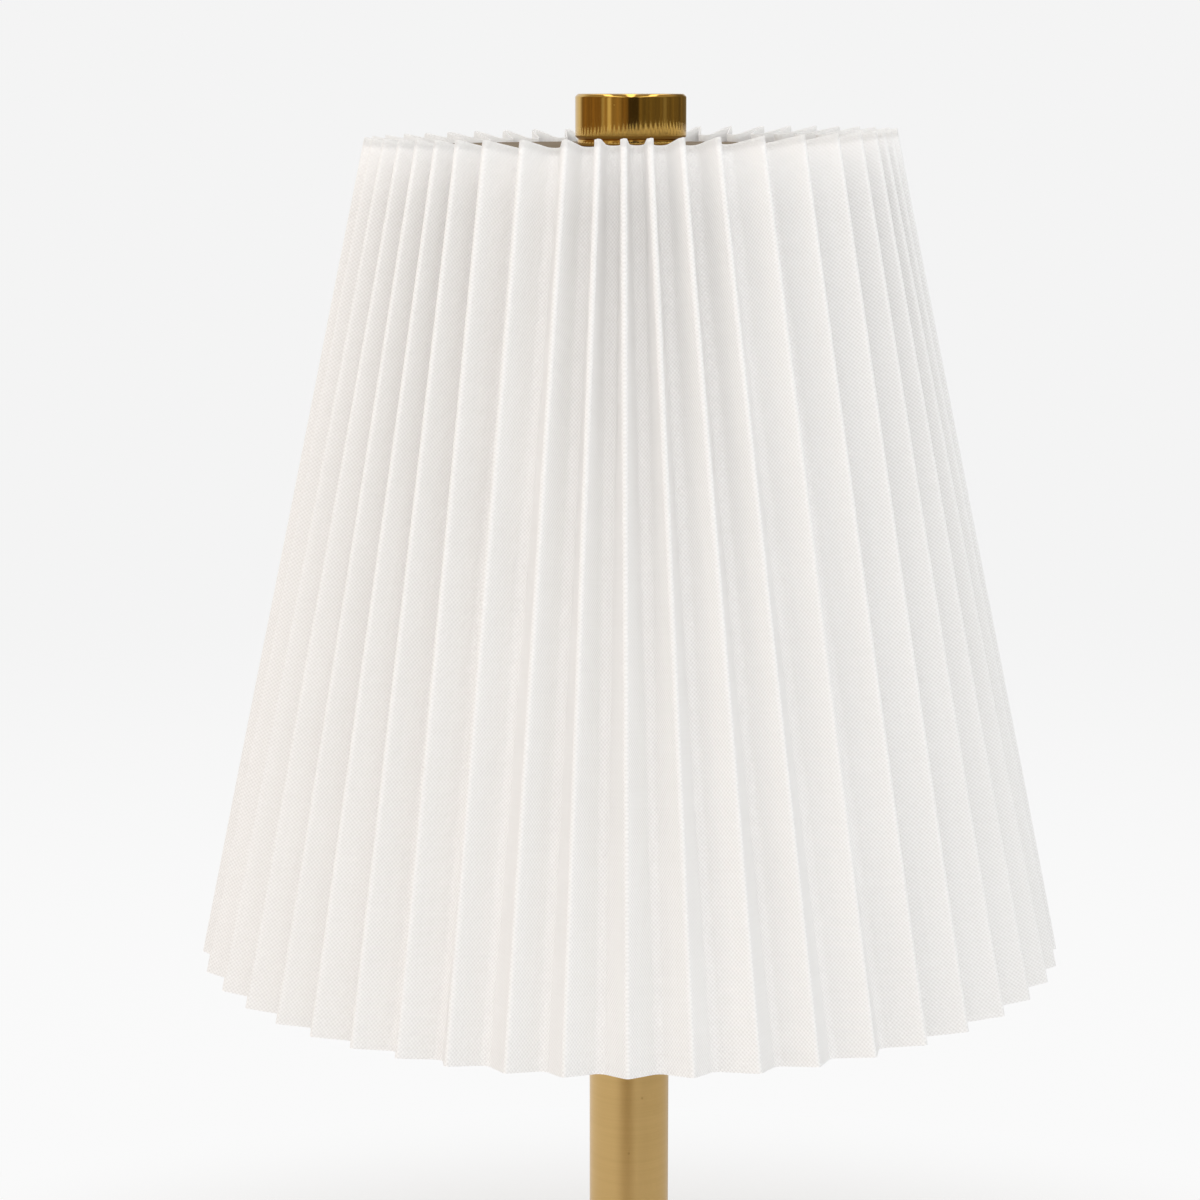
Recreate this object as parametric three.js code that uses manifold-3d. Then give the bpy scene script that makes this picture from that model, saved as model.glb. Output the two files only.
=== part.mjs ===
// Cordless table lamp: a pleated shade clamped by a finial knob on a brass stem with a weighted base.
// Millimetres, +Z up. The origin is on the table under the stem. The charging socket faces +Y.

import * as THREE from 'three';
import { mergeVertices } from 'three/addons/utils/BufferGeometryUtils.js';
import Module from 'manifold-3d';

const wasm = await Module();
wasm.setup();

// Whole lamp
const LAMP_HEIGHT = 300;
const FIT = 0.3; // gap left around a piece that sits in a hole or beside another

// Facets around round pieces
const FACETS_LARGE = 48;
const FACETS_MEDIUM = 28;
const FACETS_SMALL = 12;
const FACETS_WIRE = 8;
const ARC_STEPS = 3;

// Pleated shade
const PLEATS = 46;
const SHADE_TOP_DIAMETER = 96;
const SHADE_BOTTOM_DIAMETER = 160;
const SHADE_HEIGHT = 150;
const SHADE_RISE = 2.4; // top hem above the plate
const PLEAT_DEPTH = 7.2; // at the top hem
const FABRIC_THICKNESS = 0.6;
const FOLD_WIDTH = 0.84; // rounded edge of a fold, laid flat

// Shade frame
const PLATE_THICKNESS = 1.2;
const PLATE_SKIRT = 8;
const RING_WIRE = 2.5;
const RING_LIFT = 5; // wire centre above the bottom hem
const RIB_WIRE = 2;
const RIBS = 3;

// Knob and its seat
const KNOB_DIAMETER = 20;
const KNOB_HEIGHT = 8;
const KNOB_CROWN = 2; // metal left above the thread
const KNOB_TOP_CHAMFER = 0.5;
const KNOB_BOTTOM_CHAMFER = 0.5;
const WASHER_DIAMETER = 19.2;
const WASHER_THICKNESS = 1.3;
const GASKET_DIAMETER = 28;
const GASKET_THICKNESS = 0.8;
const STUD_DIAMETER = 6;
const STUD_SHOULDER_DIAMETER = 9.4;
const STUD_ENGAGEMENT = 5; // into the heat sink
const STUD_CHAMFER = 0.6;

// Light head
const HEATSINK_DIAMETER = 52;
const HEATSINK_WEB = 2;
const HEATSINK_GROOVES = 3;
const GROOVE_WIDTH = 1.6;
const GROOVE_DEPTH = 4;
const ROD_ENGAGEMENT = 7; // into the heat sink
const LED_BOARD_THICKNESS = 1.6;
const LED_CHIPS = 8;
const LED_CHIP_WIDTH = 3.5;
const LED_CHIP_HEIGHT = 0.8;
const LED_SCREWS = 2;
const LED_SCREW_LENGTH = 4.5;
const DIFFUSER_WALL = 1.5;
const DIFFUSER_HEIGHT = 12;
const DIFFUSER_EDGE = 2.5;

// Stem
const STEM_DIAMETER = 15;
const STEM_WALL = 1.2;
const ROD_DIAMETER = 8;
const ROD_BORE = 5.2;
const ROD_STUB = 0.5; // rod below the nut
const LEAD_SLOT_WIDTH = 3.2;
const LEAD_SLOT_HEIGHT = 6;
const COLLAR_DIAMETER = 24;
const COLLAR_HEIGHT = 5;
const COLLAR_LIP = 1.6; // straight foot of the collar
const COLLAR_NECK = 1.4; // metal left around the stem at the top of the collar
const NUT_ACROSS_FLATS = 13;
const NUT_HEIGHT = 5;
const LOCK_WASHER_DIAMETER = 16;
const LOCK_WASHER_THICKNESS = 1;

// Base
const BASE_DIAMETER = 110;
const BASE_WALL = 2.2;
const BASE_EDGE = 4;
const BASE_CHAMFER = 0.8;
const BALLAST_THICKNESS = 8;
const COVER_THICKNESS = 3;
const FOOT_PROUD = 1.2; // foot below the cover
const FOOT_SUNK = 0.8; // foot inside the cover's groove
const FOOT_WIDTH = 4;
const FOOT_INSET = 1;

// Cover screws and the bosses that take them
const SCREW_DIAMETER = 3;
const SCREW_LENGTH = 8;
const SCREW_HEAD_DIAMETER = 5.6;
const SCREW_HEAD_HEIGHT = 1.6;
const SCREW_SOCKET = 2.6; // hexagon across corners
const SCREW_SOCKET_DEPTH = 1;
const SCREW_SEAT_DEPTH = 1.8;
const SCREW_SPREAD = 25; // degrees each side of the X axis
const BOSS_WALL = 1.6;
const BOSS_MARGIN = 0.8;

// Battery and its tray
const BATTERY_LENGTH = 50;
const BATTERY_WIDTH = 26;
const BATTERY_THICKNESS = 8;
const BATTERY_CORNER = 2;
const BATTERY_HEADROOM = 2.6;
const TRAY_WALL = 1.2;
const TRAY_HEIGHT = 4;
const TRAY_NUT_GAP = 1.5;

// Control board and charging socket
const BOARD_WIDTH = 28;
const BOARD_THICKNESS = 1.6;
const BOARD_POST_HEIGHT = 2.5;
const BOARD_POST_DIAMETER = 6;
const BOARD_WALL_GAP = 1;
const BOARD_NUT_GAP = 3.5;
const BOARD_SCREW_LENGTH = 3.6;
const BOARD_SCREW_INSET = 4; // from the board's inner edge
const COIL_SIZE = [6, 6, 3];
const CHIP_SIZE = [5, 5, 1.2];
const COIL_PLACE = [-7, 10]; // from the middle of the board's inner edge
const CHIP_PLACE = [4, 11];
const SOCKET_WIDTH = 8.94;
const SOCKET_HEIGHT = 3.2;
const SOCKET_DEPTH = 7.35;
const SOCKET_WALL = 0.3;
const SOCKET_CAVITY = 6.2;
const SOCKET_RECESS = 0.8;
const TONGUE_WIDTH = 6.7;
const TONGUE_THICKNESS = 0.7;
const TONGUE_LENGTH = 5;
const LENS_DIAMETER = 3;
const LENS_FLANGE_DIAMETER = 4.6;
const LENS_FLANGE = 1;
const LENS_ANGLE = 13; // degrees round from the socket

// Small screws of both boards
const SMALL_SCREW_DIAMETER = 2;
const SMALL_SCREW_HEAD = 3.8;
const SMALL_SCREW_HEAD_HEIGHT = 1.2;

// Leads
const LED_LEAD_DIAMETER = 2;
const BATTERY_LEAD_DIAMETER = 1.8;
const LEAD_STEPS = 2; // between two points of a route

const TURN = 2 * Math.PI;
const degrees = (angle) => THREE.MathUtils.degToRad(angle);

// Heights from the top of the knob down
const knobTop = LAMP_HEIGHT;
const knobBottom = knobTop - KNOB_HEIGHT;
const plateTop = knobBottom - WASHER_THICKNESS;
const plateBottom = plateTop - PLATE_THICKNESS;
const headTop = plateBottom - GASKET_THICKNESS;
const headBottom = headTop - (ROD_ENGAGEMENT + HEATSINK_WEB + STUD_ENGAGEMENT);
const ledBoardBottom = headBottom - LED_BOARD_THICKNESS;
const diffuserBottom = headBottom - DIFFUSER_HEIGHT;
const shadeTop = plateTop + SHADE_RISE;
const shadeBottom = shadeTop - SHADE_HEIGHT;

// Heights from the table up
const coverBottom = FOOT_PROUD;
const coverTop = coverBottom + COVER_THICKNESS;
const ballastBottom = coverTop + BATTERY_THICKNESS + BATTERY_HEADROOM;
const baseCeiling = ballastBottom + BALLAST_THICKNESS;
const baseTop = baseCeiling + BASE_WALL;
const nutTop = ballastBottom - LOCK_WASHER_THICKNESS;
const nutBottom = nutTop - NUT_HEIGHT;
const rodBottom = nutBottom - ROD_STUB;
const rodTop = headBottom + ROD_ENGAGEMENT - FIT;
const boardBottom = coverTop + BOARD_POST_HEIGHT;
const boardTop = boardBottom + BOARD_THICKNESS;
const socketMiddle = boardTop + SOCKET_HEIGHT / 2;

// Radii and places that several pieces share
const stemRadius = STEM_DIAMETER / 2;
const rodRadius = ROD_DIAMETER / 2;
const rodHole = rodRadius + FIT;
const studRadius = STUD_DIAMETER / 2;
const studHole = studRadius + FIT;
const shoulderRadius = STUD_SHOULDER_DIAMETER / 2;
const shoulderHole = shoulderRadius + FIT;
const headRadius = HEATSINK_DIAMETER / 2;
const ledBoardRadius = headRadius - DIFFUSER_WALL - FIT;
const ledCircle = (stemRadius + ledBoardRadius) / 2;
const baseRadius = BASE_DIAMETER / 2;
const bayRadius = baseRadius - BASE_WALL;
const coverRadius = bayRadius - FIT;
const footOuter = coverRadius - FOOT_INSET;
const footInner = footOuter - FOOT_WIDTH;
const screwSeatRadius = SCREW_HEAD_DIAMETER / 2 + FIT;
const screwHole = SCREW_DIAMETER / 2 + FIT;
const bossRadius = screwHole + BOSS_WALL;
const screwCircle = footInner - BOSS_MARGIN - screwSeatRadius;
const screwSeat = coverBottom + SCREW_SEAT_DEPTH;
const ballastRadius = screwCircle - bossRadius - BOSS_MARGIN;
const nutCorner = NUT_ACROSS_FLATS / Math.sqrt(3);
const batteryMiddle = -(nutCorner + TRAY_NUT_GAP + TRAY_WALL + FIT + BATTERY_WIDTH / 2);
const batteryInner = batteryMiddle + BATTERY_WIDTH / 2;
const boardInner = nutCorner + BOARD_NUT_GAP;
const boardOuter = Math.sqrt((bayRadius - BOARD_WALL_GAP) ** 2 - (BOARD_WIDTH / 2) ** 2);
const boardScrewX = BOARD_WIDTH / 2 - BOARD_POST_DIAMETER / 2;
const boardScrewY = boardInner + BOARD_SCREW_INSET;
const smallScrewHole = SMALL_SCREW_DIAMETER / 2 + FIT;
const socketFront = baseRadius - SOCKET_RECESS;

const screwAngles = [SCREW_SPREAD, 180 - SCREW_SPREAD, 180 + SCREW_SPREAD, -SCREW_SPREAD].map(degrees);

// Finishes: colour, roughness, metalness
const BRASS_SATIN = [0xc09a5e, 0.38, 1];
const BRASS_POLISHED = [0xc49a4a, 0.12, 1];
const FABRIC_WHITE = [0xf2efe9, 0.9, 0];
const PLATE_TAUPE = [0x8d8378, 0.3, 0.6];
const STEEL = [0xa8a8a6, 0.4, 1];
const ALUMINIUM = [0xc8cacc, 0.45, 1];
const SILICONE = [0x2f2f30, 0.8, 0];
const OPAL = [0xf6f4ee, 0.5, 0];
const PLASTIC_DARK = [0x2a2a2c, 0.6, 0];
const BOARD_GREEN = [0x1f5a3c, 0.5, 0];
const BOARD_WHITE = [0xeeeeea, 0.5, 0];
const LED_YELLOW = [0xf0d860, 0.4, 0];
const BATTERY_SILVER = [0xb9bcc0, 0.4, 0.3];
const LENS_CLEAR = [0xe8eef0, 0.15, 0];
const LEAD_BLACK = [0x1c1c1e, 0.6, 0];

const lamp = new THREE.Group();

// One named piece of the lamp, from a geometry or a solid
function piece(name, form, [color, roughness, metalness]) {
  const geometry = form.isBufferGeometry ? form : shape(form);
  const mesh = new THREE.Mesh(geometry, new THREE.MeshStandardMaterial({ color, roughness, metalness }));
  mesh.name = name;
  lamp.add(mesh);
  return mesh;
}

// Closed mesh to a solid that can be joined and cut
function solid(geometry) {
  const bare = geometry.clone();
  bare.deleteAttribute('normal');
  bare.deleteAttribute('uv');
  const welded = mergeVertices(bare);
  const vertProperties = Float32Array.from(welded.attributes.position.array);
  const triVerts = Uint32Array.from(welded.index.array);
  return new wasm.Manifold(new wasm.Mesh({ numProp: 3, vertProperties, triVerts }));
}

function shape(body) {
  const { vertProperties, triVerts } = body.getMesh();
  const geometry = new THREE.BufferGeometry();
  geometry.setAttribute('position', new THREE.BufferAttribute(vertProperties, 3));
  geometry.setIndex(new THREE.BufferAttribute(triVerts, 1));
  return geometry;
}

// Profile of [radius, height] points turned about Z; it runs outwards along its lowest edge
function turned(profile, facets) {
  const points = profile.map(([radius, height]) => new THREE.Vector2(radius, height));
  return new THREE.LatheGeometry(points, facets).rotateX(Math.PI / 2);
}

function ring(inner, outer, low, high, facets) {
  return turned([[inner, low], [outer, low], [outer, high], [inner, high], [inner, low]], facets);
}

function disc(radius, low, high, facets) {
  return turned([[0, low], [radius, low], [radius, high], [0, high]], facets);
}

function arc(radius, height, size, from, to) {
  return Array.from({ length: ARC_STEPS + 1 }, (_, step) => {
    const angle = degrees(from + ((to - from) * step) / ARC_STEPS);
    return [radius + size * Math.cos(angle), height + size * Math.sin(angle)];
  });
}

function box(width, depth, low, high, x, y) {
  return new THREE.BoxGeometry(width, depth, high - low).translate(x, y, (low + high) / 2);
}

function roundedRectangle(width, height, corner) {
  const x = width / 2;
  const y = height / 2;
  const outline = new THREE.Shape();
  outline.moveTo(corner - x, -y);
  outline.lineTo(x - corner, -y);
  outline.absarc(x - corner, corner - y, corner, degrees(-90), 0, false);
  outline.absarc(x - corner, y - corner, corner, 0, degrees(90), false);
  outline.absarc(corner - x, y - corner, corner, degrees(90), degrees(180), false);
  outline.absarc(corner - x, corner - y, corner, degrees(180), degrees(270), false);
  return outline;
}

function extruded(outline, depth) {
  return new THREE.ExtrudeGeometry(outline, { depth, bevelEnabled: false, curveSegments: ARC_STEPS });
}

// Pan head screw that stands on its shank's end: the head is below seat, the shank above it
function screw(diameter, head, headHeight, length, seat) {
  return turned([
    [0, seat - headHeight],
    [head / 2, seat - headHeight],
    [head / 2, seat],
    [diameter / 2, seat],
    [diameter / 2, seat + length],
    [0, seat + length],
  ], FACETS_SMALL);
}

function smallScrew(length, seat) {
  return screw(SMALL_SCREW_DIAMETER, SMALL_SCREW_HEAD, SMALL_SCREW_HEAD_HEIGHT, length, seat);
}

function onCircle(radius, angle) {
  return [radius * Math.cos(angle), radius * Math.sin(angle)];
}

// Route of a lead, stepped evenly between its points so that short bends keep their shape
class LeadRoute extends THREE.CatmullRomCurve3 {
  getUtoTmapping(share) {
    return share;
  }
}

function lead(points, diameter) {
  const route = new LeadRoute(points.map((point) => new THREE.Vector3(...point)), false, 'centripetal');
  const section = new THREE.Shape();
  Array.from({ length: FACETS_WIRE }, (_, side) => {
    const [x, y] = onCircle(diameter / 2, (side * TURN) / FACETS_WIRE);
    return side ? section.lineTo(x, y) : section.moveTo(x, y);
  });
  const steps = LEAD_STEPS * (points.length - 1);
  return new THREE.ExtrudeGeometry(section, { steps, extrudePath: route, bevelEnabled: false });
}

// Pleated fabric: every flat between two folds has the same width from hem to hem, and each hem is
// square to the folds, so inner folds sit lower than outer ones
const shadeSlope = (SHADE_BOTTOM_DIAMETER - SHADE_TOP_DIAMETER) / 2 / SHADE_HEIGHT;
const halfPitch = Math.PI / PLEATS;
const ridgeTop = SHADE_TOP_DIAMETER / 2 - FABRIC_THICKNESS / 2;
const ridgeBottom = SHADE_BOTTOM_DIAMETER / 2 - FABRIC_THICKNESS / 2;
const valleyTop = ridgeTop - PLEAT_DEPTH;
const flatWidth = Math.hypot(
  ridgeTop - valleyTop * Math.cos(halfPitch),
  valleyTop * Math.sin(halfPitch),
  PLEAT_DEPTH * shadeSlope,
);
const valleyBottom = valleyRadius(ridgeBottom);

// Radius of the inner fold that lies one flat width from the outer fold
function valleyRadius(ridge) {
  const rise = shadeSlope ** 2;
  const square = 1 + rise;
  const half = ridge * (Math.cos(halfPitch) + rise);
  return (half - Math.sqrt(half ** 2 - square * (square * ridge ** 2 - flatWidth ** 2))) / square;
}

// Radius of the inside of the inner folds at a height
function insideRadius(height) {
  const top = shadeTop - PLEAT_DEPTH * shadeSlope;
  const bottom = shadeBottom - (ridgeBottom - valleyBottom) * shadeSlope;
  const share = (top - height) / (top - bottom);
  return valleyTop + share * (valleyBottom - valleyTop) - FABRIC_THICKNESS / 2;
}

// Middle line of the fabric along one hem: each fold is a short flat between two corners
function hemLine(ridge, valley) {
  return Array.from({ length: 4 * PLEATS }, (_, corner) => {
    const fold = Math.floor(corner / 2);
    const radius = fold % 2 ? valley : ridge;
    const side = corner % 2 ? 1 : -1;
    const angle = fold * halfPitch - Math.PI / 2 + (side * FOLD_WIDTH) / 2 / radius;
    return new THREE.Vector2(...onCircle(radius, angle));
  });
}

// Hem line moved sideways by an offset, with mitred corners
function offsetLine(line, offset) {
  const count = line.length;
  const normals = line.map((point, i) => {
    const along = line[(i + 1) % count].clone().sub(point).normalize();
    return new THREE.Vector2(along.y, -along.x);
  });
  return line.map((point, i) => {
    const before = normals[(i + count - 1) % count];
    const after = normals[i];
    const mitre = before.clone().add(after).multiplyScalar(offset / (1 + before.dot(after)));
    return point.clone().add(mitre);
  });
}

function shadeFabric() {
  const hems = [[ridgeBottom, valleyBottom, shadeBottom], [ridgeTop, valleyTop, shadeTop]];
  const half = FABRIC_THICKNESS / 2;
  const rows = hems.map(([ridge, valley, height]) => {
    const line = hemLine(ridge, valley);
    const heights = line.map((point) => height - (ridge - point.length()) * shadeSlope);
    const lifted = (point, i) => [point.x, point.y, heights[i]];
    return [half, -half].map((offset) => offsetLine(line, offset).map(lifted));
  });
  const [[outerLow, innerLow], [outerHigh, innerHigh]] = rows;
  const section = [outerLow, outerHigh, innerHigh, innerLow];
  const count = outerLow.length;
  const index = [];
  section.forEach((_, row) => {
    const next = (row + 1) % section.length;
    for (let i = 0; i < count; i += 1) {
      const j = (i + 1) % count;
      const corners = [row * count + i, row * count + j, next * count + j, next * count + i];
      // A twisted flat is split from the foot of its outer fold to the head of its inner fold, on both faces
      const first = (Math.floor(i / 2) + Math.floor(row / 2)) % 2;
      [[0, 1, 2], [0, 2, 3]].forEach((triangle) => {
        index.push(...triangle.map((corner) => corners[(first + corner) % corners.length]));
      });
    }
  });
  const geometry = new THREE.BufferGeometry();
  geometry.setAttribute('position', new THREE.Float32BufferAttribute(section.flat(2), 3));
  geometry.setIndex(index);
  return geometry;
}

function shadePlate() {
  const rim = insideRadius(plateTop) - FIT;
  const skirtBottom = plateBottom - PLATE_SKIRT;
  const skirt = insideRadius(skirtBottom) - FIT;
  const shoulder = insideRadius(plateBottom) - FIT;
  return turned([
    [skirt - PLATE_THICKNESS, skirtBottom],
    [skirt, skirtBottom],
    [rim, plateTop],
    [shoulderHole, plateTop],
    [shoulderHole, plateBottom],
    [shoulder - PLATE_THICKNESS, plateBottom],
    [skirt - PLATE_THICKNESS, skirtBottom],
  ], FACETS_LARGE);
}

function bottomRing(radius, height) {
  return new THREE.TorusGeometry(radius, RING_WIRE / 2, FACETS_WIRE, FACETS_LARGE).translate(0, 0, height);
}

function buildShade() {
  piece('shade_fabric', shadeFabric(), FABRIC_WHITE);
  piece('shade_plate', shadePlate(), PLATE_TAUPE);
  const ringHeight = shadeBottom + RING_LIFT;
  const ringRadius = insideRadius(ringHeight) - FIT - RING_WIRE / 2;
  piece('bottom_ring', bottomRing(ringRadius, ringHeight), STEEL);
  const ribTop = plateBottom - FIT;
  const ribBottom = ringHeight - RING_WIRE / 2;
  const ribInset = PLATE_THICKNESS + 2 * FIT + RIB_WIRE / 2;
  const topRadius = insideRadius(ribTop) - ribInset;
  const bottomRadius = ringRadius - RING_WIRE / 2 - FIT - RIB_WIRE / 2;
  const length = Math.hypot(ribTop - ribBottom, bottomRadius - topRadius);
  const lean = Math.atan2(bottomRadius - topRadius, ribTop - ribBottom);
  for (let i = 0; i < RIBS; i += 1) {
    const place = new THREE.Group();
    place.rotation.z = (i * TURN) / RIBS;
    const wire = new THREE.CylinderGeometry(RIB_WIRE / 2, RIB_WIRE / 2, length, FACETS_WIRE);
    const rib = piece(`rib_${i + 1}`, wire.rotateX(Math.PI / 2), STEEL);
    rib.position.set((topRadius + bottomRadius) / 2, 0, (ribTop + ribBottom) / 2);
    rib.rotation.y = -lean;
    place.add(rib);
    lamp.add(place);
  }
}

function buildKnob() {
  const boreTop = knobTop - KNOB_CROWN;
  const radius = KNOB_DIAMETER / 2;
  const profile = [
    [0, boreTop],
    [studHole, boreTop],
    [studHole, knobBottom],
    [radius - KNOB_BOTTOM_CHAMFER, knobBottom],
    [radius, knobBottom + KNOB_BOTTOM_CHAMFER],
    [radius, knobTop - KNOB_TOP_CHAMFER],
    [radius - KNOB_TOP_CHAMFER, knobTop],
    [0, knobTop],
  ];
  piece('knob', turned(profile, FACETS_MEDIUM), BRASS_POLISHED);
  const washer = ring(studHole, WASHER_DIAMETER / 2, plateTop, knobBottom, FACETS_MEDIUM);
  piece('knob_washer', washer, BRASS_POLISHED);
  const gasket = ring(shoulderHole, GASKET_DIAMETER / 2, headTop, plateBottom, FACETS_MEDIUM);
  piece('shade_gasket', gasket, SILICONE);
  const studTop = boreTop - FIT;
  const shoulderTop = plateTop - FIT;
  const stud = [
    [0, headTop - STUD_ENGAGEMENT + FIT],
    [studRadius, headTop - STUD_ENGAGEMENT + FIT],
    [studRadius, headTop],
    [shoulderRadius, headTop],
    [shoulderRadius, shoulderTop],
    [studRadius, shoulderTop],
    [studRadius, studTop - STUD_CHAMFER],
    [studRadius - STUD_CHAMFER, studTop],
    [0, studTop],
  ];
  piece('top_stud', turned(stud, FACETS_SMALL), STEEL);
}

function heatSink() {
  const webBottom = headBottom + ROD_ENGAGEMENT;
  const grooveSpace = (headTop - headBottom - HEATSINK_GROOVES * GROOVE_WIDTH) / (HEATSINK_GROOVES + 1);
  const grooves = Array.from({ length: HEATSINK_GROOVES }, (_, i) => {
    const low = headBottom + grooveSpace + i * (grooveSpace + GROOVE_WIDTH);
    const high = low + GROOVE_WIDTH;
    const root = headRadius - GROOVE_DEPTH;
    return [[headRadius, low], [root, low], [root, high], [headRadius, high]];
  });
  return turned([
    [0, webBottom],
    [rodHole, webBottom],
    [rodHole, headBottom],
    [headRadius, headBottom],
    ...grooves.flat(),
    [headRadius, headTop],
    [studHole, headTop],
    [studHole, webBottom + HEATSINK_WEB],
    [0, webBottom + HEATSINK_WEB],
  ], FACETS_MEDIUM);
}

function diffuser() {
  const hole = stemRadius + FIT;
  const innerEdge = DIFFUSER_EDGE - DIFFUSER_WALL;
  const inner = headRadius - DIFFUSER_WALL;
  return turned([
    [hole, diffuserBottom],
    ...arc(headRadius - DIFFUSER_EDGE, diffuserBottom + DIFFUSER_EDGE, DIFFUSER_EDGE, -90, 0),
    [headRadius, headBottom],
    [inner, headBottom],
    ...arc(inner - innerEdge, diffuserBottom + DIFFUSER_EDGE, innerEdge, 0, -90),
    [hole, diffuserBottom + DIFFUSER_WALL],
    [hole, diffuserBottom],
  ], FACETS_MEDIUM);
}

function buildLightHead() {
  let sink = solid(heatSink());
  let board = solid(ring(stemRadius + FIT, ledBoardRadius, ledBoardBottom, headBottom, FACETS_MEDIUM));
  for (let i = 0; i < LED_SCREWS; i += 1) {
    const [x, y] = onCircle(ledCircle, (i * TURN) / LED_SCREWS);
    const holeTop = ledBoardBottom + LED_SCREW_LENGTH + FIT;
    const hole = solid(disc(smallScrewHole, ledBoardBottom - FIT, holeTop, FACETS_SMALL));
    sink = sink.subtract(hole.translate(x, y, 0));
    board = board.subtract(hole.translate(x, y, 0));
    const fixing = smallScrew(LED_SCREW_LENGTH, ledBoardBottom);
    piece(`led_screw_${i + 1}`, fixing, STEEL).position.set(x, y, 0);
  }
  piece('led_heatsink', sink, ALUMINIUM);
  piece('led_board', board, BOARD_WHITE);
  const chip = [LED_CHIP_WIDTH, LED_CHIP_WIDTH, ledBoardBottom - LED_CHIP_HEIGHT, ledBoardBottom];
  for (let i = 0; i < LED_CHIPS; i += 1) {
    const place = new THREE.Group();
    place.rotation.z = ((i + 0.5) * TURN) / LED_CHIPS;
    place.add(piece(`led_chip_${i + 1}`, box(...chip, ledCircle, 0), LED_YELLOW));
    lamp.add(place);
  }
  piece('diffuser', diffuser(), OPAL);
}

function buildStem() {
  const slotMiddle = (diffuserBottom + DIFFUSER_WALL + ledBoardBottom) / 2;
  const slotLow = slotMiddle - LEAD_SLOT_HEIGHT / 2;
  const slotHigh = slotLow + LEAD_SLOT_HEIGHT;
  const slot = solid(box(LEAD_SLOT_WIDTH, STEM_DIAMETER, slotLow, slotHigh, 0, stemRadius));
  const tube = solid(ring(stemRadius - STEM_WALL, stemRadius, baseTop, headBottom, FACETS_MEDIUM));
  piece('stem_tube', tube.subtract(slot), BRASS_SATIN);
  const rod = solid(ring(ROD_BORE / 2, rodRadius, rodBottom, rodTop, FACETS_SMALL));
  piece('tie_rod', rod.subtract(slot), STEEL);
  const hole = stemRadius + FIT;
  const collar = [
    [hole, baseTop],
    [COLLAR_DIAMETER / 2, baseTop],
    [COLLAR_DIAMETER / 2, baseTop + COLLAR_LIP],
    [hole + COLLAR_NECK, baseTop + COLLAR_HEIGHT],
    [hole, baseTop + COLLAR_HEIGHT],
    [hole, baseTop],
  ];
  piece('base_collar', turned(collar, FACETS_MEDIUM), BRASS_SATIN);
  const washer = ring(rodHole, LOCK_WASHER_DIAMETER / 2, nutTop, ballastBottom, FACETS_SMALL);
  piece('lock_washer', washer, STEEL);
  const hexagon = new THREE.CylinderGeometry(nutCorner, nutCorner, NUT_HEIGHT, 6).rotateX(Math.PI / 2);
  const blank = solid(hexagon.translate(0, 0, nutBottom + NUT_HEIGHT / 2));
  const thread = solid(disc(rodHole, nutBottom - FIT, nutTop + FIT, FACETS_SMALL));
  piece('rod_nut', blank.subtract(thread), STEEL);
}

function baseShell() {
  const bayEdge = BASE_EDGE - BASE_WALL;
  let shell = solid(turned([
    [bayRadius, coverBottom],
    [baseRadius - BASE_CHAMFER, coverBottom],
    [baseRadius, coverBottom + BASE_CHAMFER],
    ...arc(baseRadius - BASE_EDGE, baseTop - BASE_EDGE, BASE_EDGE, 0, 90),
    [rodHole, baseTop],
    [rodHole, baseCeiling],
    ...arc(bayRadius - bayEdge, baseCeiling - bayEdge, bayEdge, 90, 0),
    [bayRadius, coverBottom],
  ], FACETS_LARGE));
  const boss = solid(disc(bossRadius, coverTop, baseCeiling + BASE_WALL / 2, FACETS_SMALL));
  const pilot = solid(disc(screwHole, coverBottom, screwSeat + SCREW_LENGTH + 2 * FIT, FACETS_SMALL));
  screwAngles.forEach((angle) => {
    const place = [...onCircle(screwCircle, angle), 0];
    shell = shell.add(boss.translate(place)).subtract(pilot.translate(place));
  });
  const mouth = roundedRectangle(SOCKET_WIDTH + 2 * FIT, SOCKET_HEIGHT + 2 * FIT, SOCKET_HEIGHT / 2);
  const slot = extruded(mouth, SOCKET_DEPTH).rotateX(Math.PI / 2);
  shell = shell.subtract(solid(slot.translate(0, baseRadius + FIT, socketMiddle)));
  const lensRadius = LENS_DIAMETER / 2 + FIT;
  const lensHole = disc(lensRadius, bayRadius - BASE_WALL, baseRadius + BASE_WALL, FACETS_SMALL);
  return shell.subtract(solid(facingOut(lensHole)));
}

// Piece turned about Z, laid down so that it points outwards beside the socket
function facingOut(geometry) {
  return geometry.rotateX(-Math.PI / 2).rotateZ(degrees(-LENS_ANGLE)).translate(0, 0, socketMiddle);
}

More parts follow.
